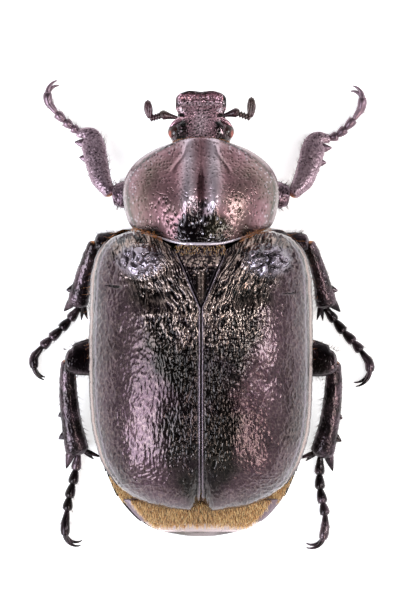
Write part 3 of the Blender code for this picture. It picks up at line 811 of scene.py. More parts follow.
    def hollow(self, x: float, y: float, side: Side) -> float:
        """How deep a place lies in the hollow behind the shoulder knob, 0 to 1."""
        return swell(math.hypot(x - (3.0 if side is Side.LEFT else 2.9), (y - 1.5) * 0.8), 0.62)

    def wrinkle(self, x: float, y: float, side: Side) -> float:
        """Height of the vermiculate wrinkles, 0 to 1, which run along the seam and the scutellum.

        Args:
            x: place outwards, in millimetres.
            y: place along the body, in millimetres.
            side: which wing case.

        Returns:
            A share from 0 to 1.
        """
        seed = side.value * 5.0
        from_seam = x - self.inner_x(y)
        sway = 0.1 * ripple(x, y, seed, 0.5) + 0.25 * ripple(x, y, seed + 3.0, 2.2)
        fold = noise.noise(Vector(((from_seam + sway) / self.wrinkle_width, y / self.wrinkle_length, seed)))
        cross = noise.noise(Vector((from_seam / 0.3, (y + 0.5 * sway) / 0.27, seed + 9.0)))
        return max(0.0, 1.0 - 3.2 * abs(fold)) * 0.85 + max(0.0, 1.0 - 3.6 * abs(cross)) * 0.2

    def knob_reach(self, x: float, y: float, side: Side) -> float:
        """Distance from the middle of the shoulder knob, where 1 is its edge."""
        return math.hypot((x - (4.05 if side is Side.LEFT else 4.5)) / 1.75, (y - 3.7) / 1.2)

    def shoulder(self, x: float, y: float, side: Side) -> float:
        """The glossy, folded knob over the wing root, with a furrow round it and a crease behind it.

        Args:
            x: place outwards, in millimetres.
            y: place along the body, in millimetres.
            side: which wing case.

        Returns:
            The height in millimetres.
        """
        left = side is Side.LEFT
        reach = self.knob_reach(x, y, side)
        knob = 0.62 * (1.0 - ease((reach - 0.1) / 1.0))
        near = swell(reach, 1.0) * (1.0 if left else 1.4)
        crest, valley = self.folds(x, y, side)
        folds = near * (0.18 * ripple(x * 1.3, y, side.value * 4.0, 0.6) + 0.12 * crest - 0.2 * valley)
        bowl = -0.34 * swell(math.hypot(x - (4.75 if left else 4.3), y - 3.9), 0.4)
        furrow = -0.1 * swell(reach - 1.12, 0.1) * ease((5.6 - x) / 1.2)
        return knob + folds + bowl + furrow - 0.14 * self.cleft(x, y, side)

    def folds(self, x: float, y: float, side: Side) -> Pair:
        """How far a place lies on a crest and in a valley of the knob's folds, each 0 to 1."""
        return crease(x, y, side.value * 6.0, 0.42, 4.0), crease(x, y, side.value * 9.0, 0.62, 4.5)

    def cleft(self, x: float, y: float, side: Side) -> float:
        """How deep a place lies in the crease beside the knob or in the slot behind it, 0 to 1.

        Args:
            x: place outwards, in millimetres.
            y: place along the body, in millimetres.
            side: which wing case.

        Returns:
            A share from 0 to 1.
        """
        middle = (1.98 if side is Side.LEFT else 1.5) + 0.12 * (x - 6.0) + 0.1 * ripple(x, y, 3.0, 0.5)
        beside = swell(y - middle, 0.06) * ease((x - 5.3) / 0.5) * (1.0 - ease((x - 6.35) / 0.3))
        behind = swell(x - 3.87 - 0.06 * ripple(x, y, 5.0, 0.4), 0.08)
        behind *= ease((y - 0.5) / 0.4) * (1.0 - ease((y - 1.8) / 0.4))
        return max(beside, behind)

    def relief(self, x: float, y: float, across: float, side: Side) -> float:
        """Height over the plain dome.

        Args:
            x: place outwards, in millimetres.
            y: place along the body, in millimetres.
            across: share of the way from the seam to the edge.
            side: which wing case.

        Returns:
            The height in millimetres.
        """
        seed = side.value * 5.0
        tail_knob = 0.22 * swell(math.hypot(x - 4.6, y + 10.4), 1.3)
        from_seam = x - self.inner_x(y)
        seam = 0.07 * swell(from_seam - 0.06, 0.045) - 0.05 * swell(from_seam - 0.17, 0.05)
        dip = -0.42 * self.hollow(x, y, side) - 0.2 * swell(math.hypot((x - 5.6) * 0.6, y - 1.7), 0.8)
        share = self.wrinkled(x, y, side)
        beside = blend(0.75, 1.0, ease((from_seam - 0.2) / 1.0))
        beside *= blend(0.9, 1.0, ease((y + 4.5) / 4.5))
        folds = share * beside * self.wrinkle_height * (self.wrinkle(x, y, side) - 0.4)
        dots = -0.08 * share * pits(x, y * 0.75, seed + 1.0, 0.22, 0.095)
        smooth = (1.0 - share) * (
            0.021 * ripple(x, y * 0.6, seed + 2.0, 0.2) + 0.03 * ripple(x, y, seed + 4.0, 0.8)
            + 0.018 * crease(x, y * 0.55, seed + 6.0, 0.3, 5.0)
            + 0.012 * crease(x, y * 0.7, seed + 8.0, 0.22, 5.0)
        )
        tail = crease(x * 0.45, y, seed + 13.0, 0.26, 4.0) * swell(math.hypot((x - 4.0) * 0.6, y + 10.9), 0.9)
        edge = 0.06 * ease((across - 0.985) / 0.012) - 0.05 * swell(across - 0.975, 0.006)
        sag = 0.05 * ripple(x, y * 0.8, seed + 11.0, 1.3)
        plain = self.shoulder(x, y, side) + tail_knob + seam + dip
        return plain + folds + dots + smooth + 0.05 * tail + edge + sag

    def build(self, side: Side) -> None:
        """Models and dresses one wing case.

        Args:
            side: which of the pair.
        """

        def shares(across: float, along: float) -> tuple[float, float, float]:
            """Shares of the plan from the seam and from the front, and how deep below the outer face.

            Args:
                across: share of the way round.
                along: share of the length.

            Returns:
                The two shares, and the depth in millimetres.
            """
            top = across < self.top_share
            turn = across / self.top_share if top else (1.0 - across) / (1.0 - self.top_share)
            outwards = blend(turn, math.sin(math.pi / 2 * turn), 0.6)
            along = blend(along, 0.5 - 0.5 * math.cos(math.pi * along), 0.35)
            round_off = fullness(2.0 * outwards - 1.0, 24.0, 0.5) * fullness(2.0 * along - 1.0, 40.0, 0.5)
            return outwards, along, 0.0 if top else self.thickness * round_off

        def place(across: float, along: float) -> Vector:
            """One point of the shell.

            Args:
                across: share of the way round.
                along: share of the length.

            Returns:
                The point in millimetres.
            """
            across, along, depth = shares(across, along)
            spot = self.plan(along, across)
            lip = 0.9 * (1.0 - ease(along / 0.075)) * (1.0 - across**4)
            point = Vector((spot.x, spot.y, self.height(spot.x, spot.y) - lip))
            rise = self.relief(spot.x, spot.y, across, side)
            point += self.normal(spot.x, spot.y) * (rise - depth)
            return Vector((point.x * side.value, point.y, point.z))

        def tint(across: float, along: float) -> Tint:
            """Pale seam and edge, sheen on the smooth half, painted highlights on the wrinkle crests and the
            knob, and painted shade on the outer flank, over the wrinkles and in the grooves, clefts and fold
            valleys.

            Args:
                across: share of the way round.
                along: share of the length.

            Returns:
                The Tone attribute.
            """
            across, along, _ = shares(across, along)
            x, y = self.plan(along, across)
            crest, valley = self.folds(x, y, side)
            knob = 1.0 - ease((self.knob_reach(x, y, side) - 0.6) / 0.5)
            # Painted shade in the knob's fold valleys, and a painted highlight over the glossy knob, brighter
            # on its fold crests.
            valley *= 0.85 * knob
            knob *= 0.42 + 0.5 * crest
            from_edge = self.half_width_at(y) - x
            seam = 0.5 * swell(x - self.inner_x(y) - 0.06, 0.03)
            # Besides the pale seam and edge line, the rim colour here carries the knob's painted highlight.
            rim = max(seam, 0.35 * swell(from_edge - 0.42, 0.05), knob)
            edge = 0.6 * swell(from_edge - 0.1, 0.05)
            # Painted shade in the groove beside the edge, and darker at the very edge.
            groove = 0.9 * max(swell(from_edge - 0.25, 0.06), ease((0.03 - from_edge) / 0.03))
            vein = crease(x, y * 0.9, side.value * 5.0 + 8.0, 0.22, 6.0)
            share = self.wrinkled(x, y, side)
            # Painted highlights on the wrinkle crests, strongest in front and dimmed in the hollow behind the
            # knob.
            front = blend(0.06, 1.0, ease((y + 3.5) / 4.5)) * (1.0 - 0.8 * self.hollow(x, y, side))
            fold = max(0.0, self.wrinkle(x, y, side) - 0.46) / 0.54
            grain = (1.0 - share) * ripple(x, y * 0.8, side.value * 31.0, 0.14)
            pale = min(1.0, max(share * front * fold, 0.13 * (1.0 - share) * vein, edge))
            # Painted shade in the edge groove, the clefts and the knob's fold valleys.
            clear = (1.0 - groove) * (1.0 - self.cleft(x, y, side)) * (1.0 - valley)
            # Painted shade: darker on the steep outer flank and over the wrinkled half, whose top faces the
            # dark overhead.
            flank = 0.38 * (1.0 - ease((from_edge - 0.6) / 2.0))
            sheen = max(0.0, 0.85 - 0.95 * min(1.0, 1.6 * share) - flank + 0.2 * grain)
            return rim * clear, sheen * clear, pale * clear, 1.0

        keep(skin(self.columns, self.rows, place, tint), WING_CHITIN, f"wing_case_{side.label}")


# Neck shield


@dataclass
class NeckShield:
    """The broad shield behind the head, with two ridges, a groove between them and a pitted rear."""

    half_width: float = 5.28
    widest_y: float = 8.3
    front_reach: float = 3.6
    front_y: float = 11.6
    rear_y: float = 5.45
    lobe_y: float = 4.85
    crown: float = 9.9
    seam_lean: float = 0.12
    top_share: float = 0.76  # of the faces round it, for the upper side
    cap: float = 0.05  # share of the length that closes either end
    columns: int = 380
    rows: int = 200

    def half_width_at(self, y: float) -> float:
        """Half the width at a length along the body."""
        if y > self.widest_y:
            return self.half_width * fullness((y - self.widest_y) / self.front_reach, 2.1, 0.5)
        return self.half_width - 0.17 * (self.widest_y - y) ** 2

    def crown_at(self, y: float) -> float:
        """Height of the plain middle line."""
        if y > 7.0:
            return self.crown - 2.6 * ((y - 7.0) / 5.0) ** 2
        return self.crown - 0.12 * ((7.0 - y) / 2.0) ** 2

    def seam_y(self, x: float, z: float) -> float:
        """Where the rear face meets the thorax."""
        lobe = self.lobe_y + 0.5 * ease((abs(x) - 1.0) / 3.0)
        return lobe + self.seam_lean * (self.crown - 0.3 - z)

    def relief(self, x: float, y: float) -> float:
        """The two ridges with the groove between them, the oblique crests and the hollows beside them.

        Args:
            x: place outwards, in millimetres.
            y: place along the body, in millimetres.

        Returns:
            The height in millimetres.
        """
        side = abs(x)
        ridge_x = blend(1.0, 0.82, ease((y - 8.0) / 3.0))
        ridge = 0.5 * swell(side - ridge_x, 0.6) * ease((y - 6.9) / 0.9)
        ridge *= blend(1.0, 0.5, ease((y - 8.5) / 3.0))
        groove = -0.26 * swell(x, 0.15) * swell(y - 8.6, 1.1) - 0.04 * swell(x, 0.12) * ease((y - 8.0) / 1.0)
        hollow = -0.24 * swell(math.hypot(side - 3.0, y - 10.0), 1.15)
        dent = -0.26 * swell(math.hypot(side - 3.1, y - 6.2), 0.7)
        pan = -0.1 * swell(math.hypot(x * 0.7, y - 6.3), 0.9)
        crest_x = blend(1.0, 1.95, ease((11.3 - y) / 1.7))
        crest = 0.09 * swell(side - crest_x, 0.13) * ease((y - 9.4) / 0.5) * ease((11.5 - y) / 0.4)
        return ridge + groove + hollow + dent + pan + crest

    def from_edge(self, x: float, y: float) -> float:
        """How far a place lies inside the outline, measured square to it."""
        half_width = self.half_width_at(y)
        slope = (half_width - self.half_width_at(y + 0.05)) / 0.05
        return (half_width - abs(x)) / math.hypot(1.0, slope)

    def pit(self, x: float, y: float) -> float:
        """How deep a place lies in a pit. Pits are coarse and dense at the rear and finer in front.

        Args:
            x: place outwards, in millimetres.
            y: place along the body, in millimetres.

        Returns:
            A share from 0 to 1.
        """
        rear = 1.0 - ease((y - 7.6 - 0.9 * ripple(x, y, 1.0, 1.5)) / 2.2)
        border = 1.0 - ease((self.from_edge(x, y) - 0.6) / 0.4)
        coarse = max(0.4, rear, border) * pits(x, y, 3.0, 0.26, 0.11)
        return max(coarse, 0.9 * pits(x, y, 6.0, 0.23, 0.09), 0.55 * pits(x, y, 16.0, 0.21, 0.08))

    def build(self) -> None:
        """Models and dresses the shield."""

        def spot(across: float, along: float) -> tuple[float, float, float]:
            """x, the unmoved y and the share of the length between the caps."""
            inner = without_caps(along, self.cap)
            y = blend(self.front_y, self.rear_y, inner**1.1)
            return section(across, self.top_share)[0] * self.half_width_at(y), y, inner

        def surface(across: float, along: float) -> Vector:
            """A point of the ring at a length along the shield.

            Args:
                across: share of the way round.
                along: share of the length.

            Returns:
                The point in millimetres.
            """
            share, top = section(across, self.top_share)
            x, y, inner = spot(across, along)
            edge_z = 5.6 + 0.5 * ease((7.5 - y) / 2.5) + 0.3 * ease((y - 10.0) / 1.6)
            edge = self.from_edge(x, y)
            if top:
                height = fullness(share, 2.2, 0.6)
                z = edge_z + (self.crown_at(y) - edge_z) * height + self.relief(x, y) * height
                z -= 0.085 * self.pit(x, y) * min(1.0, height * 1.5)
                z += 0.035 * swell(edge - 0.06, 0.06) - 0.03 * swell(edge - 0.5, 0.1)
                z += 0.012 * ripple(x, y, 8.0, 0.5)
            else:
                keel = 2.5 + 1.4 * ease((y - 9.3) / 2.3)
                z = edge_z - (edge_z - keel) * fullness(share, 2.0, 0.75)
            forward = 0.4 * (1 - ease(inner * 5)) * (1 - share * share)
            backward = ease((inner - 0.6) / 0.4)
            return Vector((x, blend(y + forward, self.seam_y(x, z), backward), z))

        def place(across: float, along: float) -> Vector:
            """One point, with both ends drawn in to a point to close them."""
            end = Vector((0.0, self.front_y - 0.1 if along < 0.5 else self.rear_y, 6.2))
            return end.lerp(surface(across, along), opened(along, self.cap))

        def tint(across: float, along: float) -> Tint:
            """Painted highlights on the ridges, a mauve sheen over the sides, a dark rear with painted
            glints, a pale edge, and painted shade in the pits, the edge groove and the rear dents.

            Args:
                across: share of the way round.
                along: share of the length.

            Returns:
                The Tone attribute.
            """
            x, y, inner = spot(across, along)
            edge = self.from_edge(x, y)
            # Painted shade in the pits.
            clear = 1.0 - self.pit(x, y)
            # A painted highlight along the two ridges.
            ridge = 0.9 * swell(abs(x) - 0.85, 0.42) * ease((y - 7.2) / 0.7)
            reach = math.hypot((x - 0.1) / 1.95, (y - 6.1) / 1.75) + 0.25 * ripple(x, y, 9.0, 0.6)
            rear = 1.0 - ease((reach - 0.75) / 0.4)
            rim = max(0.7 * swell(edge - 0.12, 0.06), 0.7 * ease((inner - 0.965) / 0.02))
            # Painted shade in the groove inside the edge and in the dents at the rear corners.
            groove = 0.8 * swell(edge - 0.32, 0.08)
            corner = 0.9 * swell(math.hypot(abs(x) - 3.05, (y - 6.3) * 0.8), 0.55)
            flank = 0.2 * (1.0 - ease((edge - 0.4) / 0.9)) - 0.15 * ripple(x, y, 18.0, 0.14)
            sheen = max(0.0, 0.82 - 0.85 * rear - flank) * (1.0 - groove) * (1.0 - corner)
            # Painted glints: pale dots in the pits of the dark rear and along the border.
            dots = rear * pits(x, y, 3.0, 0.26, 0.078)
            border = 0.5 * (1.0 - ease((edge - 0.7) / 0.5)) * pits(x, y, 14.0, 0.2, 0.08)
            pale = max(0.55 * ridge * clear, dots, border)
            return rim * clear * (1.0 - groove), sheen * clear, pale * (1.0 - 0.8 * corner), 1.0

        edge = [surface(blend(0.04, 0.96, k / 60) * self.top_share, 0.945) for k in range(61)]
        rim = bead(edge, [0.1] * 2, 12, 180, (0.01, 0.01), tone=0.9, pale=0.9)
        keep(joined([skin(self.columns, self.rows, place, tint), rim]), SHIELD_CHITIN, "neck_shield")


# Head


@dataclass
class Head:
    """The head with its spade-shaped front plate, eyes, feelers and mouth parts."""

    rear_y: float = 10.9
    front_y: float = 15.2
    plate_half_width: float = 1.72
    eye_centre: tuple[float, float, float] = (1.66, 12.42, 5.55)
    eye_size: tuple[float, float, float] = (0.58, 0.62, 0.7)
    antenna_poses: dict[Side, tuple[Pair, Pair, Pair]] = field(default_factory=lambda: {
        Side.LEFT: ((2.55, 13.55), (3.45, 13.3), (3.6, 14.6)),
        Side.RIGHT: ((2.35, 13.7), (3.35, 13.35), (3.4, 14.8)),
    })  # where the elbow, the root and the tip of the club lie, seen from above
    antenna_z: float = 5.2
    top_share: float = 0.68  # of the faces round it, for the upper side
    columns: int = 220
    rows: int = 180

    def half_width_at(self, y: float) -> float:
        """The front plate, the notch where the feelers root, and the cheeks that half cover the eyes.

        Args:
            y: place along the body, in millimetres.

        Returns:
            The half width in millimetres.
        """
        plate = self.plate_half_width
        if y > 14.5:
            plate *= fullness((y - 14.5) / 0.78, 2.6, 0.45)
        cheeks = 0.38 * ease((13.25 - y) / 0.45) * ease((y - 11.3) / 0.8)
        return max(plate - 0.16 * swell(y - 13.6, 0.25) + cheeks, 0.9)

    def pit(self, x: float, y: float) -> float:
        """How deep a place lies in one of the dense pits, 0 to 1."""
        return pits(x, y, 5.0, 0.17, 0.085)

    def relief(self, x: float, y: float, u: float, length: float) -> float:
        """Height over the plain dome: raised rim and hollow of the front plate, knobs, slots and brows.

        Args:
            x: place across.
            y: place along.
            u: share of the half width.
            length: share of the length from the rear.

        Returns:
            The height in millimetres.
        """
        side = abs(x)
        flanks = 0.36 * ease((length - 0.76) / 0.2) * abs(u) ** 2.5
        hollow = -0.26 * swell(y - 14.55, 0.4) * (1 - u * u)
        lip = 0.2 * swell(y - 15.08, 0.14)
        fold = 0.05 * swell(y - 14.5 + 0.1 * u * u, 0.06) * (1.0 - u**4)
        brow = 0.2 * swell(y - 12.9, 0.6) * swell(abs(u) - 0.62, 0.2)
        knob = 0.2 * swell(math.hypot(side - 1.3, y - 13.85), 0.2)
        slot = -0.3 * swell(y - 13.52, 0.1) * ease((side - 1.0) / 0.2)
        dip = -0.1 * swell(math.hypot(side - 1.35, y - 12.2), 0.35)
        grain = 0.02 * ripple(x, y, 2.0, 0.35)
        return flanks + hollow + lip + fold + brow + knob + slot + dip + grain - 0.075 * self.pit(x, y)

    def build_capsule(self) -> None:
        """Models and dresses the head capsule."""

        def lengthwise(along: float) -> Pair:
            """y and the share of the length from the rear, without the two end caps."""
            share = min(max((along - 0.04) / 0.9, 0.0), 1.0)
            y = blend(self.rear_y, self.front_y, blend(share, math.sin(math.pi / 2 * share), 0.5))
            return y, (y - self.rear_y) / (self.front_y - self.rear_y)

        def place(across: float, along: float) -> Vector:
            """One point, with both ends drawn in to a point to close them.

            Args:
                across: share of the way round.
                along: share of the length.

            Returns:
                The point in millimetres.
            """
            y, length = lengthwise(along)
            half_width = self.half_width_at(y)
            edge = blend(5.4, 5.15, length)
            u, top = section(across, self.top_share)
            x = u * half_width
            if top:
                rise = fullness(u, 3.0, 0.55)
                crown = 7.1 - 1.5 * ease(length * 1.05)
                z = edge + (crown - edge) * rise + self.relief(x, y, u, length) * min(1.0, rise * 1.6)
            else:
                keel = 3.4 + 1.0 * ease((length - 0.6) / 0.4)
                z = edge - (edge - keel) * fullness(u, 2.2, 0.6)
            y -= 0.1 * swell(x, 0.55) * ease((length - 0.9) / 0.1)
            point = Vector((x, y, z))
            if along < 0.04:
                return Vector((0.0, self.rear_y, 5.3)).lerp(point, along / 0.04)
            if along > 0.94:
                swing = (along - 0.94) / 0.06
                end = Vector((0.0, self.front_y - 0.12, 4.95)).lerp(point, 1.0 - swing)
                return end + Vector((0.0, 0.05 * math.sin(math.pi * swing), 0.0))
            return point

        def tint(across: float, along: float) -> Tint:
            """Lilac forehead and knobs, dark flanks, a dark rim in front, and painted shade in the pits, the
            slots and the hollow of the front plate.

            Args:
                across: share of the way round.
                along: share of the length.

            Returns:
                The Tone attribute.
            """
            y, _ = lengthwise(along)
            u, top = section(across, self.top_share)
            u = u if top else 1.0
            x = u * self.half_width_at(y)
            side = abs(x)
            # Painted shade in the dense pits, with a random speckle.
            clear = max(0.0, (1.0 - 1.1 * self.pit(x, y)) * (0.85 + 1.7 * ripple(x, y, 9.0, 0.12)))
            flank = ease((side - 0.8) / 0.35) * ease((13.4 - y) / 0.4)
            rim = max(ease((y - 14.85) / 0.15), ease((side - 1.35) / 0.2) * ease((y - 13.9) / 0.3))
            # Painted shade in the slots behind the knobs and in the hollow of the front plate.
            slot = swell(y - 13.52, 0.12) * ease((side - 1.0) / 0.2)
            pan = 0.5 * swell(y - 14.75, 0.25) * (1.0 - u**4)
            dark = max(0.8 * flank, 0.85 * rim, slot, pan)
            knob, fold = swell(math.hypot(side - 1.3, y - 13.85), 0.2), swell(y - 14.3, 0.16) * (1 - u**4)
            pale = max(0.9 * knob, 0.5 * fold, 0.45 * swell(math.hypot(x, (y - 13.0) * 0.5), 0.5))
            return 0.0, max(0.0, 0.9 - dark) * clear, pale * clear * (1.0 - slot), 1.0

        works = [skin(self.columns, self.rows, place, tint)]
        for side in Side:
            path = side.path((1.35, 13.25, 5.9), (1.75, 13.05, 5.85), (2.0, 12.75, 5.75), (2.12, 12.45, 5.65))
            works.append(limb(path, [0.16, 0.15, 0.12, 0.07], [0.22, 0.2, 0.16, 0.1], 16, 24, tone=0.8))
        keep(joined(works), HEAD_CHITIN, "head")

    def build_eye(self, side: Side) -> None:
        """Models and dresses one eye.

        Args:
            side: which of the two.
        """
        x, y, z = self.eye_centre
        across_size, along_size, high = self.eye_size

        def place(across: float, along: float) -> Vector:
            """One point of the ellipsoid, its poles up and down.

            Args:
                across: share of the turn.
                along: share of the way down.

            Returns:
                The point in millimetres.
            """
            turn, rise = 2 * math.pi * across, math.pi * along
            return Vector((
                side.value * x + across_size * math.sin(rise) * math.cos(turn),
                y + along_size * math.sin(rise) * math.sin(turn),
                z + high * math.cos(rise),
            ))

        def tint(across: float, along: float) -> Tint:
            """An orange glow at the rear outer rim.

            Args:
                across: share of the turn.
                along: share of the way down.

            Returns:
                The Tone attribute.
            """
            point = place(across, along) - Vector((side.value * x, y, z))
            outer = side.value * point.x / across_size
            crescent = swell(outer - 0.78, 0.15) * ease((0.3 - point.y / along_size) / 0.5)
            return crescent, 0.0, 0.0, 1.0

        keep(skin(48, 32, place, tint), EYE_FACETS, f"eye_{side.label}", f"eye_{side.label}_cornea")

    def build_antenna(self, side: Side) -> None:
        """Models one feeler: a club-shaped first joint, five beads and a fan of three leaves.

        Args:
            side: which feeler. The two are posed differently.
        """
        elbow_at, base_at, tip_at = self.antenna_poses[side]
        root_y = elbow_at[1] - 0.2
        root, elbow, club_root, club_tip = side.path(
            (self.half_width_at(root_y) - 0.1, root_y, self.antenna_z), (*elbow_at, self.antenna_z),
            (*base_at, self.antenna_z - 0.05), (*tip_at, self.antenna_z),
        )
        works = [limb([root, root.lerp(elbow, 0.5), elbow, elbow.lerp(club_root, 0.1)],
                      [0.1, 0.2, 0.33, 0.18], [0.1, 0.2, 0.3, 0.16], 20, 26, tone=0.6)]
        beads = 5
        for k in range(beads):
            middle = elbow.lerp(club_root, (k + 0.7) / (beads + 0.2))
            reach = (club_root - elbow).normalized() * 0.13
            stretch = [middle - reach, middle, middle + reach]
            works.append(bead(stretch, [0.14, 0.24, 0.16], 14, 10, (0.3, 0.3), tone=0.6))
        for k in (-1, 0, 1):
            lift = Vector((side.value * 0.13 * k, 0.0, 0.0))
            sag = Vector((side.value * -0.1, 0.0, 0.0))
            base = club_root + lift * 0.4
            tip = club_tip + lift * 0.7 - Vector((0.0, 0.07 * abs(k), 0.0))
            works.append(limb([base, base.lerp(tip, 0.5) + lift * 0.8 - sag * 0.3, tip],
                              [0.1, 0.135, 0.11], [0.2, 0.31, 0.24], 18, 22, ends=(0.15, 0.2), tone=0.7))
        keep(joined(works), FEELER_CHITIN, f"antenna_{side.label}")

    def build_mouth(self) -> None:
        """Models the palps, the jaws and the lower lip under the front plate."""
        mouth = []
        for side in Side:
            path = side.path((0.7, 13.5, 3.85), (0.85, 13.8, 3.5), (1.05, 14.15, 3.35), (1.2, 14.5, 3.35),
                             (1.25, 14.85, 3.45))
            works = [bead([near, near.lerp(far, 0.6), far], [0.12, 0.22, 0.15], 14, 12, (0.2, 0.25))
                     for near, far in zip(path, path[1:])]
            keep(joined(works), FEELER_CHITIN, f"palp_{side.label}")
            jaw = side.path((1.15, 13.4, 4.3), (1.0, 14.3, 4.25), (0.35, 14.85, 4.3))
            mouth.append(limb(jaw, [0.4, 0.32, 0.12], [0.3, 0.28, 0.15], 16, 16))
        lip = Side.RIGHT.path((0.0, 12.6, 3.7), (0.0, 13.5, 3.6), (0.0, 14.3, 3.8))
        mouth.append(limb(lip, [0.75, 0.8, 0.5], [0.3, 0.3, 0.2], 24, 16))
        keep(joined(mouth), BODY_CHITIN, name="jaws_and_lip")


# Thorax, abdomen and tail


@dataclass
class Trunk:
    """The body under the wing cases, in overlapping rings, down to the haired segment and the tail plate."""

    cases: WingCases
    shield: NeckShield
    half_width: float = 7.15
    widest_y: float = -4.0
    reach: float = 11.0
    belly_z: float = 1.7
    side_seam_z: float = 4.9
    front_y: float = 5.1
    waist_y: float = -2.9
    tail_segment_y: float = -12.1
    tail_plate_y: float = -14.2
    ring_edges: tuple[float, ...] = (-2.9, -4.9, -6.8, -8.6, -10.4, -12.1)
    flare: float = 0.05
    unwrap_length: float = 20.5

    def half_width_at(self, y: float) -> float:
        """Half the width at a length along the body."""
        if y > self.widest_y:
            return min(self.cases.half_width_at(y) - 0.35, self.half_width)
        return self.half_width * fullness((self.widest_y - y) / self.reach, 2.8, 0.417)

    def roof(self, y: float) -> float:
        """The middle line of the back.

        Args:
            y: place along the body, in millimetres.

        Returns:
            The height in millimetres.
        """
        covered = 5.1 + 4.7 * fullness(y / 12.3, 2.6, 0.6)
        bare = 5.1 - 1.0 * max(0.0, (-12.6 - y) / 2.3) ** 1.6
        if y > 0:
            return self.cases.crown_at(y) - 1.3 - 0.9 * ease((y - 3.2) / 1.8)
        return max(covered, bare) if y > -12.5 else bare

    def keel(self, y: float) -> float:
        """The middle line of the underside."""
        return self.belly_z + 0.9 * ease((-8.0 - y) / 5.5) + 0.7 * ease((y - 2.0) / 3.0)

    def shelf(self, y: float, low: float, roof: float) -> Pair:
        """Where the back meets the belly, which is wider and leaves a shelf.

        Args:
            y: length along the body.
            low: half width of the belly.
            roof: height of the back.

        Returns:
            The height of the side seam and the half width of the back.
        """
        high = max(min(self.cases.half_width_at(y) - 0.95, low - 0.1), low * 0.75)
        return min(self.side_seam_z - 0.8 * ease((-9.0 - y) / 5.5), roof - 0.25), high

    def point(self, across: float, y: float) -> Vector:
        """A point of the skin.

        Args:
            across: share round the body, from the left edge over the back and then under the belly.
            y: length along the body.

        Returns:
            The point in millimetres.
        """
        shrink = math.sqrt(max(0.0, 1.0 - ease((self.tail_plate_y - y) / 0.95) ** 2 * 0.75))
        to_seam = ease((y - 2.6) / (self.front_y - 2.6))
        low = self.half_width_at(y) * shrink - 0.8 * to_seam
        roof, keel = self.roof(y), self.keel(y)
        middle = 0.5 * (roof + keel)
        roof, keel = blend(middle, roof, shrink), blend(middle, keel, shrink)
        seam, high = self.shelf(y, low, roof)
        high = low * 0.97 if y < -12.4 else high - 0.5 * to_seam
        u, top = section(across, 0.5)
        if top:
            x, z = u * high, seam + 0.1 + (roof - seam - 0.1) * fullness(u, 2.6, 0.55)
        else:
            x, z = u * low, seam - (seam - keel) * fullness(u, 2.2, 0.6)
        return Vector((x, blend(y, self.shield.seam_y(x, z) - 0.1, to_seam), z))

    def unwrapped(self, across: float, y: float) -> Pair:
        """The place of a point of the skin on its unwrap, for the bake map of hair."""
        return across * 0.99, min(0.99, (self.front_y - y) / self.unwrap_length)

    def ring(self, front: float, rear: float, columns: int, rows: int, tint: Paint,
             leans: Pair = (0.0, 0.0)) -> bmesh.types.BMesh:
        """One closed ring of the body, which widens a little to its rear edge, over the next ring.

        Args:
            front: where it starts.
            rear: where it ends.
            columns: faces round it.
            rows: faces along it.
            tint: its Tone attribute.
            leans: how far its front and its rear end are drawn forward for each millimetre down.

        Returns:
            The ring in millimetres.
        """
        cap = 0.08

        def place(across: float, along: float) -> Vector:
            """One point, with both ends drawn in to close them.

            Args:
                across: share of the way round.
                along: share of the length.

            Returns:
                The point in millimetres.
            """
            share = without_caps(along, cap)
            y = blend(front, rear, share)
            point = self.point(across, y)
            if any(leans):
                point = self.point(across, y + blend(*leans, share) * (5.0 - point.z))
            axis = Vector((0.0, point.y, 0.5 * (self.roof(y) + self.keel(y))))
            grow = self.flare * (ease(share / 0.25) - 1.0 + 1.4 * ease((share - 0.5) / 0.5))
            return axis.lerp(point + (point - axis).normalized() * grow, opened(along, cap))

        return skin(columns, rows, place, tint)

    def build(self) -> None:
        """Models and dresses all rings."""

        def sides(across: float, along: float) -> Tint:
            """A little sheen along the middle of the belly."""
            return 0.0, 0.4 * swell(across - 0.75, 0.12), 0.0, 1.0

        keep(self.ring(self.front_y, self.waist_y - 0.1, 160, 60, sides), BODY_CHITIN, "thorax")
        rings = [self.ring(front + 0.15, rear - 0.15, 144, 22, sides)
                 for front, rear in zip(self.ring_edges, self.ring_edges[1:])]
        keep(joined(rings), BODY_CHITIN, "abdomen", "abdomen_rings")

        def margin(across: float, along: float) -> Tint:
            """A bare lilac margin along both sides."""
            return 0.0, 0.3, 0.9 * (1.0 - ease((abs(abs(across - 0.25) - 0.25) - 0.062) / 0.015)), 1.0

        band = self.ring(self.tail_segment_y + 0.1, self.tail_plate_y - 0.1, 160, 36, margin, (0.0, 0.44))
        keep(band, BAND_CHITIN, "tail_segment")
        end_y = self.widest_y - self.reach + 0.06

        def gloss(across: float, along: float) -> Tint:
            """A bright polished band on top, dark at its outer edge."""
            bright = 1.0 - ease((along - 0.64) / 0.1)
            return 0.0, 0.95 * bright if across < 0.5 else 0.1, 0.0, 1.0

        plate = self.ring(self.tail_plate_y + 0.05, end_y, 160, 40, gloss, (0.44, 0.0))
        keep(plate, PLATE_CHITIN, "tail_plate")

    def under_shield(self, y: float) -> float:
        """The height of the wing cases' crown, which dips in front to pass under the neck shield."""
        return self.cases.crown_at(y) - 0.5 * ease((y - 3.2) / 1.3)

    def build_scutellum(self) -> None:
        """Models the grooved triangle between the wing cases."""
        base_y, tip_y = self.cases.scutellum_base_y + 0.45, self.cases.scutellum_tip_y + 0.08
        cap = 0.05
        pit_sizes = (2.0, 0.23, 0.1)

        def spot(across: float, along: float) -> tuple[float, float, float, bool]:
            """y, the half width there, the share of it, and whether this is the upper side."""
            y = blend(base_y, tip_y, without_caps(along, cap))
            return y, max(self.cases.inner_x(min(y, 4.35)) - 0.05, 0.02), *section(across, 0.7)

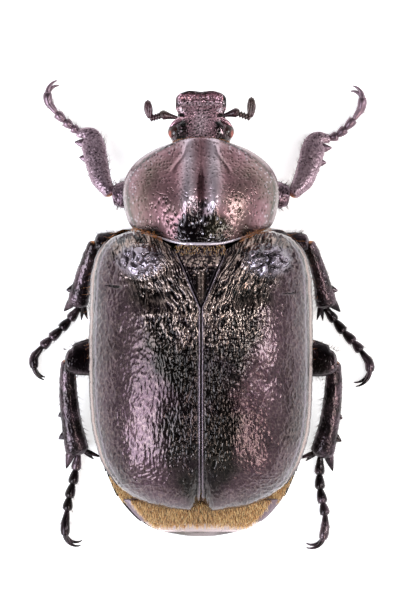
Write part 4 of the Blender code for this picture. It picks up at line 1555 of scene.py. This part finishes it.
        def place(across: float, along: float) -> Vector:
            """One point of the closed plate.

            Args:
                across: share of the way round.
                along: share of the length.

            Returns:
                The point in millimetres.
            """
            y, half_width, u, upper = spot(across, along)
            x, top = u * half_width, self.under_shield(y) - 0.16
            z = top - 0.7
            if upper:
                furrow = 0.16 * swell(abs(x) - 0.33, 0.15) * ease((y - 1.3) / 0.8) * ease((3.4 - y) / 0.6)
                rim = 0.06 * swell(half_width * (1.0 - abs(u)) - 0.06, 0.07)
                z = top - 0.12 * u * u - furrow + rim - 0.1 * pits(x, y, *pit_sizes)
                z += 0.14 * ease((y - 3.3) / 0.2) - 0.14 - 0.12 * ease((abs(u) - 0.95) / 0.05)
            middle = Vector((0.0, y, top - 0.4))
            return middle.lerp(Vector((x, y, z)), min(1.0, along / cap, (1.0 - along) / cap))

        def tint(across: float, along: float) -> Tint:
            """Dark, with a bronze band in front, pale outlines, a pale tip, painted glints, and painted shade
            in the pits.

            Args:
                across: share of the way round.
                along: share of the length.

            Returns:
                The Tone attribute.
            """
            y, half_width, u, upper = spot(across, along)
            u = u if upper else 1.0
            x = u * half_width
            # Painted glints: pale dots scattered over the plate.
            dots = pits(x, y, 12.0, 0.23, 0.085)
            outline = 0.4 * swell(half_width * (1.0 - abs(u)) - 0.05, 0.05) + 0.6 * ease((0.9 - y) / 0.4)
            furrows = 0.5 * swell(abs(x) - 0.12, 0.12) * ease((3.2 - y) / 0.3)
            band = (1.0 - ease((3.35 - y) / 0.15)) * (0.45 + 0.55 * swell(y - 3.6, 0.25))
            grain = ripple(x, y, 21.0, 0.13)
            # Painted shade in the pits, and random dark grain in the band.
            clear = (1.0 - pits(x, y, *pit_sizes)) * (1.0 - band * ease((grain - 0.02) / 0.1))
            worn = band * ease((-grain - 0.04) / 0.1)
            pale = max(furrows * clear, 0.8 * swell(y - 3.58, 0.15) * clear, 0.9 * dots, worn)
            return outline * (1.0 - dots), (0.1 + 0.8 * band) * clear, pale, 1.0

        keep(skin(200, 170, place, tint), WING_CHITIN, "scutellum")


# Legs


@dataclass(frozen=True)
class LegPair:
    """What the two legs of one pair share, apart from their pose. Sizes run from the body outwards."""

    coxa: tuple[float, float, float]
    coxa_size: tuple[float, float, float]
    hip: tuple[float, float, float]
    knee_z: float
    thigh: tuple[tuple[float, float, float], ...]  # share of the way to the knee, half width, droop behind it
    shin: tuple[float, ...]
    shin_height: tuple[float, ...]
    teeth: tuple[Pair, ...]
    end_tooth: float
    spurs: tuple[Pair, ...]
    foot_radius: float
    claw_spread: float  # how much more the inner claw is turned, as a share of the whole turn
    shin_bend: tuple[float, ...] = (0.0, 0.0)  # how far its middle line is moved outwards
    shin_arm: float = 0.0  # how far the shin's end reaches outwards, towards the foot


@dataclass(frozen=True)
class LegPose:
    """How one leg is set, seen from above. x counts outwards from the middle line."""

    knee: Pair
    ankle: Pair
    sag: float
    foot_root: Pair
    foot: tuple[Pair, ...]
    claw: Pair


LEG_PAIRS = {
    "front": LegPair(
        coxa=(1.55, 8.2, 2.45), coxa_size=(1.35, 0.95, 0.9), hip=(2.3, 8.35, 2.3), knee_z=2.0,
        thigh=((0.0, 0.75, 0.0), (0.25, 0.9, 0.0), (0.55, 0.95, 0.0), (0.82, 0.9, 0.0), (1.0, 0.6, 0.0)),
        shin=(0.36, 0.54, 0.7, 0.75, 0.79, 0.81, 0.7), shin_height=(0.36, 0.44, 0.46, 0.44, 0.42, 0.4, 0.3),
        shin_bend=(0.1, 0.11, 0.14, 0.02, -0.06, -0.16, -0.12), shin_arm=0.85,
        teeth=((0.695, 0.38), (0.93, 0.5)), end_tooth=0.0, spurs=((0.0, 0.25),), foot_radius=0.33,
        claw_spread=0.26,
    ),
    "middle": LegPair(
        coxa=(2.0, 3.7, 2.0), coxa_size=(1.55, 0.85, 0.75), hip=(2.9, 4.15, 1.95), knee_z=2.6,
        thigh=((0.0, 0.7, 0.0), (0.25, 0.85, 0.0), (0.55, 0.9, 0.0), (0.82, 0.82, 0.0), (1.02, 0.5, 0.0)),
        shin=(0.4, 0.48, 0.5, 0.54, 0.6, 0.7, 0.7),
        shin_height=(0.36, 0.44, 0.45, 0.47, 0.5, 0.52, 0.4),
        teeth=((0.74, 0.38),), end_tooth=0.55, spurs=((8.0, 0.75), (30.0, 0.7)), foot_radius=0.35,
        claw_spread=0.14,
    ),
    "hind": LegPair(
        coxa=(2.8, -2.1, 2.15), coxa_size=(2.4, 0.85, 0.65), hip=(3.4, -2.4, 2.05), knee_z=2.7,
        thigh=((0.0, 0.8, 0.0), (0.28, 1.2, 0.0), (0.57, 1.35, 0.0), (0.8, 1.2, 0.05), (0.94, 0.98, 0.1),
               (1.04, 0.55, -0.05)),
        shin=(0.45, 0.56, 0.62, 0.66, 0.7, 0.78, 0.84),
        shin_height=(0.38, 0.46, 0.5, 0.54, 0.55, 0.55, 0.4),
        teeth=((0.55, 0.22), (0.76, 0.42)), end_tooth=0.85, spurs=((62.0, 0.95), (40.0, 0.5)),
        foot_radius=0.35, claw_spread=0.14,
    ),
}

LEG_POSES = {
    "front_left": LegPose(
        (6.02, 8.12), (7.63, 12.05), 0.14, (7.9, 12.24),
        ((0.48, 30), (0.5, 34), (0.66, 40), (0.79, 44), (0.98, 53), (0.68, 88)), (1.2, 76),
    ),
    "front_right": LegPose(
        (6.02, 8.1), (7.95, 11.75), 0.2, (8.1, 11.98),
        ((0.62, 2), (0.6, 20), (0.72, 42), (0.83, 48), (0.98, 56), (0.74, 87)), (1.18, 80),
    ),
    "middle_left": LegPose(
        (7.15, 5.0), (8.4, 0.55), 0.14, (8.4, 0.35),
        ((0.82, -52), (0.88, -47), (0.96, -43), (0.81, -43), (0.92, -52), (0.76, -94)), (1.2, -68),
    ),
    "middle_right": LegPose(
        (7.25, 5.0), (8.55, 0.5), 0.14, (8.55, 0.35),
        ((0.92, -53), (0.98, -52), (0.95, -45), (0.77, -51), (1.0, -54), (0.63, -90)), (1.6, -82),
    ),
    "hind_left": LegPose(
        (9.0, -2.95), (8.3, -9.5), 0.26, (8.35, -9.6),
        ((0.91, -80), (0.97, -78), (0.98, -75), (0.86, -82), (0.96, -82), (0.77, -90)), (1.55, -108),
    ),
    "hind_right": LegPose(
        (9.0, -3.05), (8.12, -9.65), 0.28, (8.07, -9.8),
        ((1.0, -92), (1.0, -88), (0.97, -78), (0.82, -79), (0.9, -91), (0.81, -101)), (1.5, -100),
    ),
}


@dataclass
class Leg:
    """One leg: coxa, thigh, toothed shin, jointed foot and claws."""

    name: str
    pair: LegPair
    pose: LegPose
    side: Side
    tone: float = 0.3  # how much sheen the leg has
    pale: float = 0.0  # how far its shin is towards the pale ridge colour
    side_highlight: float = 0.0  # painted highlight: how much more sheen its lit front or outer side has
    ankle_z: float = 0.75

    def at(self, x: float, y: float, z: float = 0.0) -> Vector:
        """A place or a way on the leg's side, where x counts outwards from the middle line."""
        return Vector((self.side.value * x, y, z))

    def keep(self, part: str, works: Sequence[bmesh.types.BMesh]) -> None:
        """Turns the meshes of one part of the leg into its piece."""
        keep(joined(works), LEG_CHITIN, f"{part}_{self.name}")

    def shin_line(self) -> tuple[list[Vector], Vector]:
        """Points along the middle of the shin, and the way outwards across it.

        Returns:
            The points in millimetres and the way, of length 1.
        """
        knee, ankle = self.at(*self.pose.knee, self.pair.knee_z), self.at(*self.pose.ankle, self.ankle_z)
        away = (ankle - knee).cross(UP).normalized()
        if away.x * self.side.value < 0:
            away = -away
        line = []
        for k in range(len(self.pair.shin)):
            share = k / (len(self.pair.shin) - 1)
            bend = self.pose.sag * math.sin(math.pi * share) + through(self.pair.shin_bend, share)
            line.append(knee.lerp(ankle, share) + away * bend)
        return line, away

    def build_coxa(self) -> None:
        """Models the hip joint under the body."""
        wide, deep, high = self.pair.coxa_size
        middle, reach = self.at(*self.pair.coxa), Vector((wide, 0.0, 0.0))
        self.keep("coxa", [limb([middle - reach, middle, middle + reach], [deep * 0.9] * 3, [high * 0.95] * 3,
                                36, 30, ends=(0.5, 0.5), tone=0.2)])

    def thigh_line(self) -> tuple[list[Vector], list[float]]:
        """Points along the middle of the thigh, and its half widths there."""
        hip, knee = self.at(*self.pair.hip), self.at(*self.pose.knee, self.pair.knee_z)
        path = [hip.lerp(knee, share) - Vector((0.0, droop, 0.0)) for share, _, droop in self.pair.thigh]
        return path, [half for _, half, _ in self.pair.thigh]

    def build_thigh(self) -> None:
        """Models the flattened thigh, from inside the coxa to the knee."""
        path, widths = self.thigh_line()
        heights = [min(half, 0.62) * 1.05 for half in widths]
        self.keep("thigh", [limb(path, widths, heights, 72, 110, ends=(0.08, 0.05), tone=0.6 * self.tone,
                                 pit_depth=0.04, side_highlight=-self.side.value * self.side_highlight)])

    def build_shin(self) -> None:
        """Models the shin with its outer teeth, end tooth and movable spurs."""
        path, away = self.shin_line()
        along = (path[-1] - path[0]).normalized()
        line, widths, heights = list(path), list(self.pair.shin), list(self.pair.shin_height)
        if self.pair.shin_arm:
            line += [path[-1] + along * 0.4 + away * 0.3, path[-1] + along * 0.46 + away * self.pair.shin_arm]
            widths += [0.4, 0.24]
            heights += [0.28, 0.2]
        works = [limb(line, widths, heights, 72, 160, ends=(0.05, 0.08), tone=self.tone, pit_depth=0.04,
                      cuff=0.8, pale=self.pale, side_highlight=-self.side.value * self.side_highlight)]
        for share, length in self.pair.teeth:
            half = through(self.pair.shin, share)
            centre = through(path, share)
            tip = centre + away * (half + length * 0.75) + along * (length * 0.8)
            works.append(thorn(centre + away * (half - 0.35), tip, 0.36, 0.5 * self.tone, height=0.4))
        low = Vector((0.0, 0.0, 0.15))
        if self.pair.end_tooth:
            root = path[-1] + away * (self.pair.shin[-1] * 0.5) - along * 0.45
            tip = path[-1] + away * (self.pair.shin[-1] + 0.1) + along * self.pair.end_tooth
            works.append(thorn(root, tip - low, 0.36, self.tone))
        for turn, length in self.pair.spurs:
            swing = math.radians(turn)
            inward = along * math.cos(swing) - away * math.sin(swing)
            root = path[-1] - away * (self.pair.shin[-1] * 0.5) - along * 0.3
            works.append(thorn(root, root + inward * (length + 0.4) - low, 0.2, self.tone))
        self.keep("shin", works)

    def heading(self, degrees: float) -> Vector:
        """The way of a heading seen from above, from outwards at 0 to forwards at 90 degrees."""
        return self.at(math.cos(math.radians(degrees)), math.sin(math.radians(degrees)))

    def foot_line(self) -> list[Vector]:
        """The ends of the stretches of the foot, from their lengths and headings.

        Returns:
            The points in millimetres.
        """
        rest_z = self.pair.foot_radius * 0.87
        joints = [self.at(*self.pose.foot_root, rest_z)]
        for length, heading in self.pose.foot:
            joints.append(joints[-1] + self.heading(heading) * length)
        joints[0].z = blend(rest_z, self.ankle_z, 0.6)
        return joints

    def build_foot(self) -> None:
        """Models four flared foot joints, the long last one and two curved claws."""
        radius = self.pair.foot_radius
        joints = self.foot_line()
        works = []
        for k, (near, far) in enumerate(zip(joints[:4], joints[1:5])):
            sizes = [radius * size for size in (0.5, 0.75, 0.95, 1.0, 0.85)]
            path = [near.lerp(far, share) for share in (-0.1 if k else -0.45, 0.2, 0.5, 0.82, 1.08)]
            works.append(bead(path, sizes, 24, 28, (0.2, 0.32), floor=True, tone=0.6 * self.tone))
        sizes = [radius * size for size in (0.45, 0.7, 0.86, 0.95, 0.88, 0.66)]
        ahead = (joints[5] - joints[4]).normalized()
        path = [joints[4] - ahead * 0.1, joints[4].lerp(joints[5], 0.45), joints[4].lerp(joints[5], 0.88),
                joints[5].lerp(joints[6], 0.35), joints[5].lerp(joints[6], 0.7), joints[6]]
        works.append(bead(path, sizes, 24, 36, (0.08, 0.1), floor=True, tone=0.7 * self.tone))
        length, turn = self.pose.claw
        heading = self.pose.foot[-1][1]
        steps = 7
        for lift, swing in ((0.11, 0.0), (-0.09, self.pair.claw_spread)):
            point = joints[6] + (joints[5] - joints[6]).normalized() * 0.15 + Vector((0, 0, lift))
            path = [point]
            reach = length * (1.0 - 0.5 * swing)
            for k in range(steps):
                step = self.heading(heading + turn * ((k + 0.5) / steps + swing))
                path.append(path[-1] + step * (reach / steps))
            sizes = [blend(0.23, 0.05, (k / steps) ** 1.3) for k in range(steps + 1)]
            works.append(limb(path, [s * 0.8 for s in sizes], sizes, 12, 26, ends=(0.05, 0.03), floor=True,
                              tone=0.7 * self.tone))
        self.keep("foot", works)

    def build(self) -> None:
        """Models and dresses the whole leg."""
        self.build_coxa()
        self.build_thigh()
        self.build_shin()
        self.build_foot()


# Hairs


@dataclass
class Root:
    """Where one hair grows."""

    point: Vector
    way: Vector
    length: float
    width: float
    bend: Vector
    patch: Pair


class Coat:
    """Single hairs as tapered three-sided blades, joined into one mesh for each patch of skin."""

    sides = 3
    steps = 3

    def __init__(self, seed: int) -> None:
        """Starts a coat with its own seeded random draws."""
        self.draw = random.Random(seed)
        self.roots: list[Root] = []

    def add(self, point: Vector, way: Vector, length: float, width: float, patch: Pair,
            sag: float = 0.25, scatter: float = 0.25) -> None:
        """Adds a hair.

        Args:
            point: where it grows.
            way: which way it leaves.
            length: its length.
            width: its thickness at the root.
            patch: the root's place on the unwrap of the skin.
            sag: how far it bends down, as a share of its length.
            scatter: how much its way and length vary.
        """
        loose = Vector([self.draw.gauss(0.0, scatter) for _ in range(3)])
        way = (way.normalized() + loose).normalized()
        length *= 1.0 + self.draw.uniform(-scatter, scatter)
        bend = (Vector((0.0, 0.0, -sag)) + loose * 0.4) * length
        self.roots.append(Root(point, way, length, width, bend, patch))

    def template(self) -> tuple[np.ndarray, list[tuple[int, ...]]]:
        """One upright hair of length 1 and half thickness 1: its points and its faces.

        Returns:
            The points, and the numbers of each face's corners.
        """
        work = bmesh.new()
        bmesh.ops.create_cone(work, cap_ends=True, segments=self.sides, radius1=1.0, radius2=0.12, depth=1.0)
        bmesh.ops.translate(work, vec=UP * 0.5, verts=work.verts)
        for k in range(1, self.steps):
            bmesh.ops.bisect_plane(work, geom=[*work.verts, *work.edges, *work.faces], dist=1e-5,
                                   plane_co=UP * (k / self.steps), plane_no=UP)
        bmesh.ops.triangulate(work, faces=work.faces)
        work.verts.index_update()
        points = np.array([vert.co[:] for vert in work.verts])
        faces = [tuple(vert.index for vert in face.verts) for face in work.faces]
        work.free()
        return points, faces

    def build(self, name: str, finish: Seta) -> None:
        """Joins all hairs into one piece.

        Args:
            name: the piece's name.
            finish: the hair's finish.
        """
        shape, faces = self.template()
        count, size = len(self.roots), len(shape)
        points = np.zeros((count, size, 3))
        tones = np.zeros((count, size, 4))
        rise = shape[:, 2]
        for k, root in enumerate(self.roots):
            across = root.way.orthogonal().normalized()
            beside = root.way.cross(across)
            axes = np.array([across * root.width, beside * root.width, root.way * root.length])
            points[k] = np.array(root.point) + shape @ axes + np.outer(rise**2, np.array(root.bend))
            tones[k] = np.column_stack([
                np.full(size, 1.1 * self.draw.random()), rise, np.zeros(size), np.ones(size),
            ])
        points[:, :, 2] = np.maximum(points[:, :, 2], 0.02)
        mesh = bpy.data.meshes.new(name)
        table = np.array(faces)
        joined_faces = (table[None, :, :] + (np.arange(count) * size)[:, None, None]).reshape(-1, 3)
        mesh.from_pydata((points.reshape(-1, 3) * MM).tolist(), [], joined_faces.tolist())
        tone = mesh.attributes.new("Tone", "FLOAT_COLOR", "POINT")
        tone.data.foreach_set("color", tones.reshape(-1))
        corner = (shape[:, :2] * 0.5 + 0.5) * BAKE_PATCH
        patches = np.array([root.patch for root in self.roots])
        spots = (patches[:, None, :] + corner[None, :, :]).reshape(-1, 2)
        unwrap = mesh.uv_layers.new(name=BAKE_MAP)
        unwrap.data.foreach_set("uv", np.clip(spots[joined_faces.reshape(-1)], 0.0, 1.0).reshape(-1))
        keep_mesh(mesh, finish)


@dataclass
class Hairs:
    """All hair: on the tail band, under the neck shield, on the scutellum, the sides and the legs."""

    trunk: Trunk
    shield: NeckShield
    legs: Sequence[Leg]

    def tail_band(self) -> None:
        """The dense, short golden fur of the segment behind the wing cases."""
        coat = Coat(11)
        trunk = self.trunk
        for _ in range(5200):
            across = coat.draw.uniform(0.074, 0.426)
            y = coat.draw.uniform(-10.6, -14.2)
            point = trunk.point(across, y)
            if y > -12.45 and coat.draw.random() < 0.7:
                low = trunk.half_width_at(y)
                seam_z, high = trunk.shelf(y, low, trunk.roof(y))
                reach = blend(high, low, 0.85 * coat.draw.random())
                point = Vector((coat.draw.choice(SIDES) * reach, y, seam_z + 0.1))
            axis = Vector((0.0, y + 1.0, 3.4))
            out = (point - axis).normalized()
            way = Vector((0.1 * out.x, -1.0, 0.35 * max(out.z, 0.0) + 0.1))
            coat.add(point, way, 0.36, 0.022, trunk.unwrapped(across, y), sag=0.2, scatter=0.16)
        coat.build("tail_band_fur", GOLD_SETA)

    def shield_fringe(self) -> None:
        """The thin pale fringe under the front edge of the neck shield."""
        coat = Coat(12)
        for _ in range(300):
            x = coat.draw.uniform(-1.9, 1.9)
            arch = 1.0 - (x / 2.1) ** 2
            y = self.shield.front_y + 0.3 * arch - 0.1
            z = blend(6.9, 7.5, arch) + coat.draw.uniform(-0.25, 0.0)
            coat.add(Vector((x, y, z)), Vector((0.15 * x, 1.0, -0.1)), 0.24, 0.014,
                     (0.5 + x * 0.1, 0.02), sag=0.3, scatter=0.15)
        coat.build("neck_shield_fringe", ORANGE_SETA)

    def wing_base_fringe(self) -> None:
        """Orange hair in the gap between the neck shield and the wing cases."""
        coat = Coat(15)
        cases = self.trunk.cases
        for _ in range(420):
            side = coat.draw.choice(SIDES)
            across = coat.draw.uniform(0.22, 0.66)
            edge = cases.plan(0.0, across)
            spot = cases.plan(0.02, across)
            z = cases.height(spot.x, spot.y) - coat.draw.uniform(0.75, 1.1)
            coat.add(Vector((side * edge.x, edge.y + coat.draw.uniform(-0.05, 0.2), z)),
                     Vector((0.3 * side, 0.1, 0.8)), 0.2, 0.012, (0.5 + side * across * 0.4, 0.3),
                     sag=0.3, scatter=0.4)
        coat.build("wing_base_setae", ORANGE_SETA)

    def scutellum_hair(self) -> None:
        """Short golden hair that comes out under the shield and lies over the scutellum."""
        coat = Coat(13)
        cases = self.trunk.cases
        for _ in range(150):
            x = coat.draw.uniform(-1.7, 1.7)
            y = coat.draw.uniform(4.15, 4.85)
            if abs(x) > cases.inner_x(min(y, 4.35)) + 0.1:
                continue
            z = self.trunk.under_shield(y) - 0.14
            coat.add(Vector((x, y, z)), Vector((0.1 * x, -1.0, 0.6)), 0.2, 0.016,
                     (0.5 + x * 0.1, 0.1 + 0.1 * (4.8 - y)), sag=0.2, scatter=0.22)
        coat.build("scutellum_setae", GOLD_SETA)

    def side_hair(self) -> None:
        """Longer orange-gold hair on the sides of the thorax and on the belly."""
        coat = Coat(14)
        for _ in range(2600):
            y = coat.draw.uniform(-2.8, 5.0)
            across = coat.draw.uniform(0.44, 1.06) % 1.0
            if 0.58 < across < 0.92 and coat.draw.random() < 0.75:
                continue
            point = self.trunk.point(across, y)
            out = Vector((point.x, 0.0, point.z - 5.0)).normalized()
            way = out * 0.5 + Vector((0.0, -0.9, 0.0))
            coat.add(point, way, 0.75, 0.016, self.trunk.unwrapped(across, y), sag=0.1, scatter=0.3)
        coat.build("thorax_setae", ORANGE_SETA)

    def leg_hair(self, leg: Leg) -> None:
        """Sparse reddish bristles on a leg, longest below the shin and the foot joints.

        Args:
            leg: the leg that they grow on.
        """
        coat = Coat(20 + len(leg.name) + 3 * leg.side.value)
        path, away = leg.shin_line()
        along = (path[-1] - path[0]).normalized()
        for _ in range(90):
            share = coat.draw.uniform(0.08, 0.97)
            edge = coat.draw.choice((-1.0, -1.0, 1.0))
            spot = through(path, share) + away * (edge * 0.92 * through(leg.pair.shin, share))
            spot.z += coat.draw.uniform(-0.15, 0.1)
            patch = (0.25 * (edge + 2.0) - 0.2, share)
            coat.add(spot, away * edge + along * 1.1, 0.45, 0.014, patch, sag=0.1)
        joints = leg.foot_line()
        radius = leg.pair.foot_radius
        for k, (near, far) in enumerate(zip(joints[:5], joints[1:6])):
            ahead = (far - near).normalized()
            beside = ahead.cross(UP)
            for _ in range(8):
                flip = coat.draw.choice(SIDES)
                spot = near.lerp(far, coat.draw.uniform(0.6, 0.95)) + beside * (flip * radius * 0.8)
                coat.add(spot, ahead + beside * (flip * 0.7), 0.32, 0.012, (0.9, 0.15 * k), sag=0.15)
        path, widths = leg.thigh_line()
        outwards = (path[-1] - path[0]).normalized()
        across = outwards.cross(UP)
        for _ in range(110):
            share = coat.draw.uniform(0.3, 0.97)
            flip = coat.draw.choice(SIDES)
            spot = through(path, share) + across * (flip * 0.93 * through(widths, share))
            coat.add(spot, across * flip + outwards * 0.9, 0.42, 0.014, (0.5, share), sag=0.1)
        coat.build(f"leg_setae_{leg.name}", LEG_SETA)

    def build(self) -> None:
        """Grows all hair."""
        self.tail_band()
        self.shield_fringe()
        self.wing_base_fringe()
        self.scutellum_hair()
        self.side_hair()
        for leg in self.legs:
            self.leg_hair(leg)


# Studio


@dataclass
class Studio:
    """A plain white sheet, a camera that looks straight down, and five soft boxes in a bright tent."""

    photo_height: float = 612.0
    mm_per_pixel: float = 30.0 / 444.0
    centre: Pair = (0.0, 0.64)
    focus_z: float = 5.0
    lens: float = 1000.0
    sensor: float = 36.0

    def camera(self) -> None:
        """Sets a long lens over the beetle, so that it is seen almost without perspective."""
        data = bpy.data.cameras.new("camera")
        data.lens = self.lens
        data.sensor_width = self.sensor
        distance = self.photo_height * self.mm_per_pixel * self.lens / self.sensor
        data.clip_start = 0.1
        data.clip_end = 10.0
        camera = placed("camera", data)
        camera.location = Vector((*self.centre, self.focus_z + distance)) * MM
        bpy.context.scene.camera = camera

    def floor(self) -> None:
        """Lays the white sheet, which glows a little, as a backlit acrylic table does."""
        work = bmesh.new()
        bmesh.ops.create_grid(work, x_segments=1, y_segments=1, size=3.0)
        bmesh.ops.translate(work, vec=Vector((0.0, 0.0, -0.00002)), verts=work.verts)
        mesh = bpy.data.meshes.new("floor")
        work.to_mesh(mesh)
        work.free()
        # Backlit acrylic is matt and glows, so that hardly any shadow shows on it.
        material = bpy.data.materials.new("white_acrylic_table")
        material.use_nodes = True
        shader = material.node_tree.nodes["Principled BSDF"].inputs
        shader["Base Color"].default_value = linear("#f7f7f7")
        shader["Roughness"].default_value = 0.9
        shader["Emission Color"].default_value = linear("#ffffff")
        shader["Emission Strength"].default_value = 0.7
        mesh.materials.append(material)
        floor = placed("floor", mesh)

    def soft_box(self, name: str, place: tuple[float, float, float], size: Pair, power: float,
                 colour: str = "#ffffff") -> None:
        """Hangs one rectangular light that faces the beetle.

        Args:
            name: the light's name.
            place: where it hangs, in metres.
            size: its width and height in metres.
            power: in watts.
            colour: of its light.
        """
        data = bpy.data.lights.new(name, "AREA")
        data.shape = "RECTANGLE"
        data.size, data.size_y = size
        data.energy = power
        data.color = linear(colour)[:3]
        light = placed(name, data)
        light.location = place
        aim = UP * self.focus_z * MM - Vector(place)
        light.rotation_euler = aim.to_track_quat("-Z", "Y").to_euler()

    def tent(self) -> None:
        """The white tent: bright low all round and dark overhead, where the camera looks in."""
        world = bpy.data.worlds.new("tent")
        world.use_nodes = True
        tree = world.node_tree
        background = tree.nodes["Background"]
        way = add_node(tree, "ShaderNodeTexCoord").outputs["Generated"]
        parts = add_node(tree, "ShaderNodeSeparateXYZ", {"Vector": way})
        ramp = add_node(tree, "ShaderNodeValToRGB", {"Fac": parts.outputs["Z"]})
        rear_glow = add_node(tree, "ShaderNodeMapRange", {
            "Value": parts.outputs["Y"], "From Min": -0.8, "From Max": 0.8, "To Min": 1.1, "To Max": 0.6,
        })
        stops = ramp.color_ramp.elements
        stops[0].position, stops[0].color = 0.0, (0.7, 0.7, 0.7, 1.0)
        stops[1].position, stops[1].color = 0.93, (0.01, 0.01, 0.011, 1.0)
        for position, level in ((0.3, 0.72), (0.5, 0.6), (0.66, 0.24), (0.8, 0.04)):
            stop = stops.new(position)
            stop.color = (level, level, level * 1.02, 1.0)
        tree.links.new(ramp.outputs["Color"], background.inputs["Color"])
        tree.links.new(rear_glow.outputs["Result"], background.inputs["Strength"])
        bpy.context.scene.world = world

    def build(self) -> None:
        """Sets up the camera, the floor and the lights."""
        scene = bpy.context.scene
        scene.view_settings.view_transform = "Standard"
        scene.view_settings.look = "None"
        self.camera()
        self.floor()
        self.tent()
        self.soft_box("left_box", (-0.46, -0.16, 0.5), (0.26, 0.46), 2.7, "#eff4ff")
        self.soft_box("rear_left_box", (-0.42, -0.42, 0.42), (0.3, 0.3), 3.3, "#eff4ff")
        self.soft_box("right_box", (0.44, 0.02, 0.34), (0.1, 0.12), 0.9)
        self.soft_box("rear_right_box", (0.3, -0.38, 0.5), (0.1, 0.32), 1.25, "#fff0e8")
        self.soft_box("high_right_box", (0.2, -0.02, 0.5), (0.07, 0.12), 0.5)


def main() -> None:
    """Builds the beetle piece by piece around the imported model."""
    logging.basicConfig(level=logging.INFO, format="%(message)s")
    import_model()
    Studio().build()
    cases = WingCases()
    for side in Side:
        cases.build(side)
    shield = NeckShield()
    shield.build()
    head = Head()
    head.build_capsule()
    for side in Side:
        head.build_eye(side)
        head.build_antenna(side)
    head.build_mouth()
    trunk = Trunk(cases, shield)
    trunk.build()
    trunk.build_scutellum()
    legs = []
    for name, pose in LEG_POSES.items():
        pair, label = name.split("_")
        # The third value paints a highlight on the side of the middle and hind legs where the light falls.
        tone, pale, side_highlight = (1.0, 0.75, 0.0) if pair == "front" else (0.07, 0.03, 0.07)
        leg = Leg(name, LEG_PAIRS[pair], pose, Side[label.upper()], tone, pale, side_highlight)
        leg.build()
        legs.append(leg)
    Hairs(trunk, shield, legs).build()


if __name__ == "__main__":
    main()
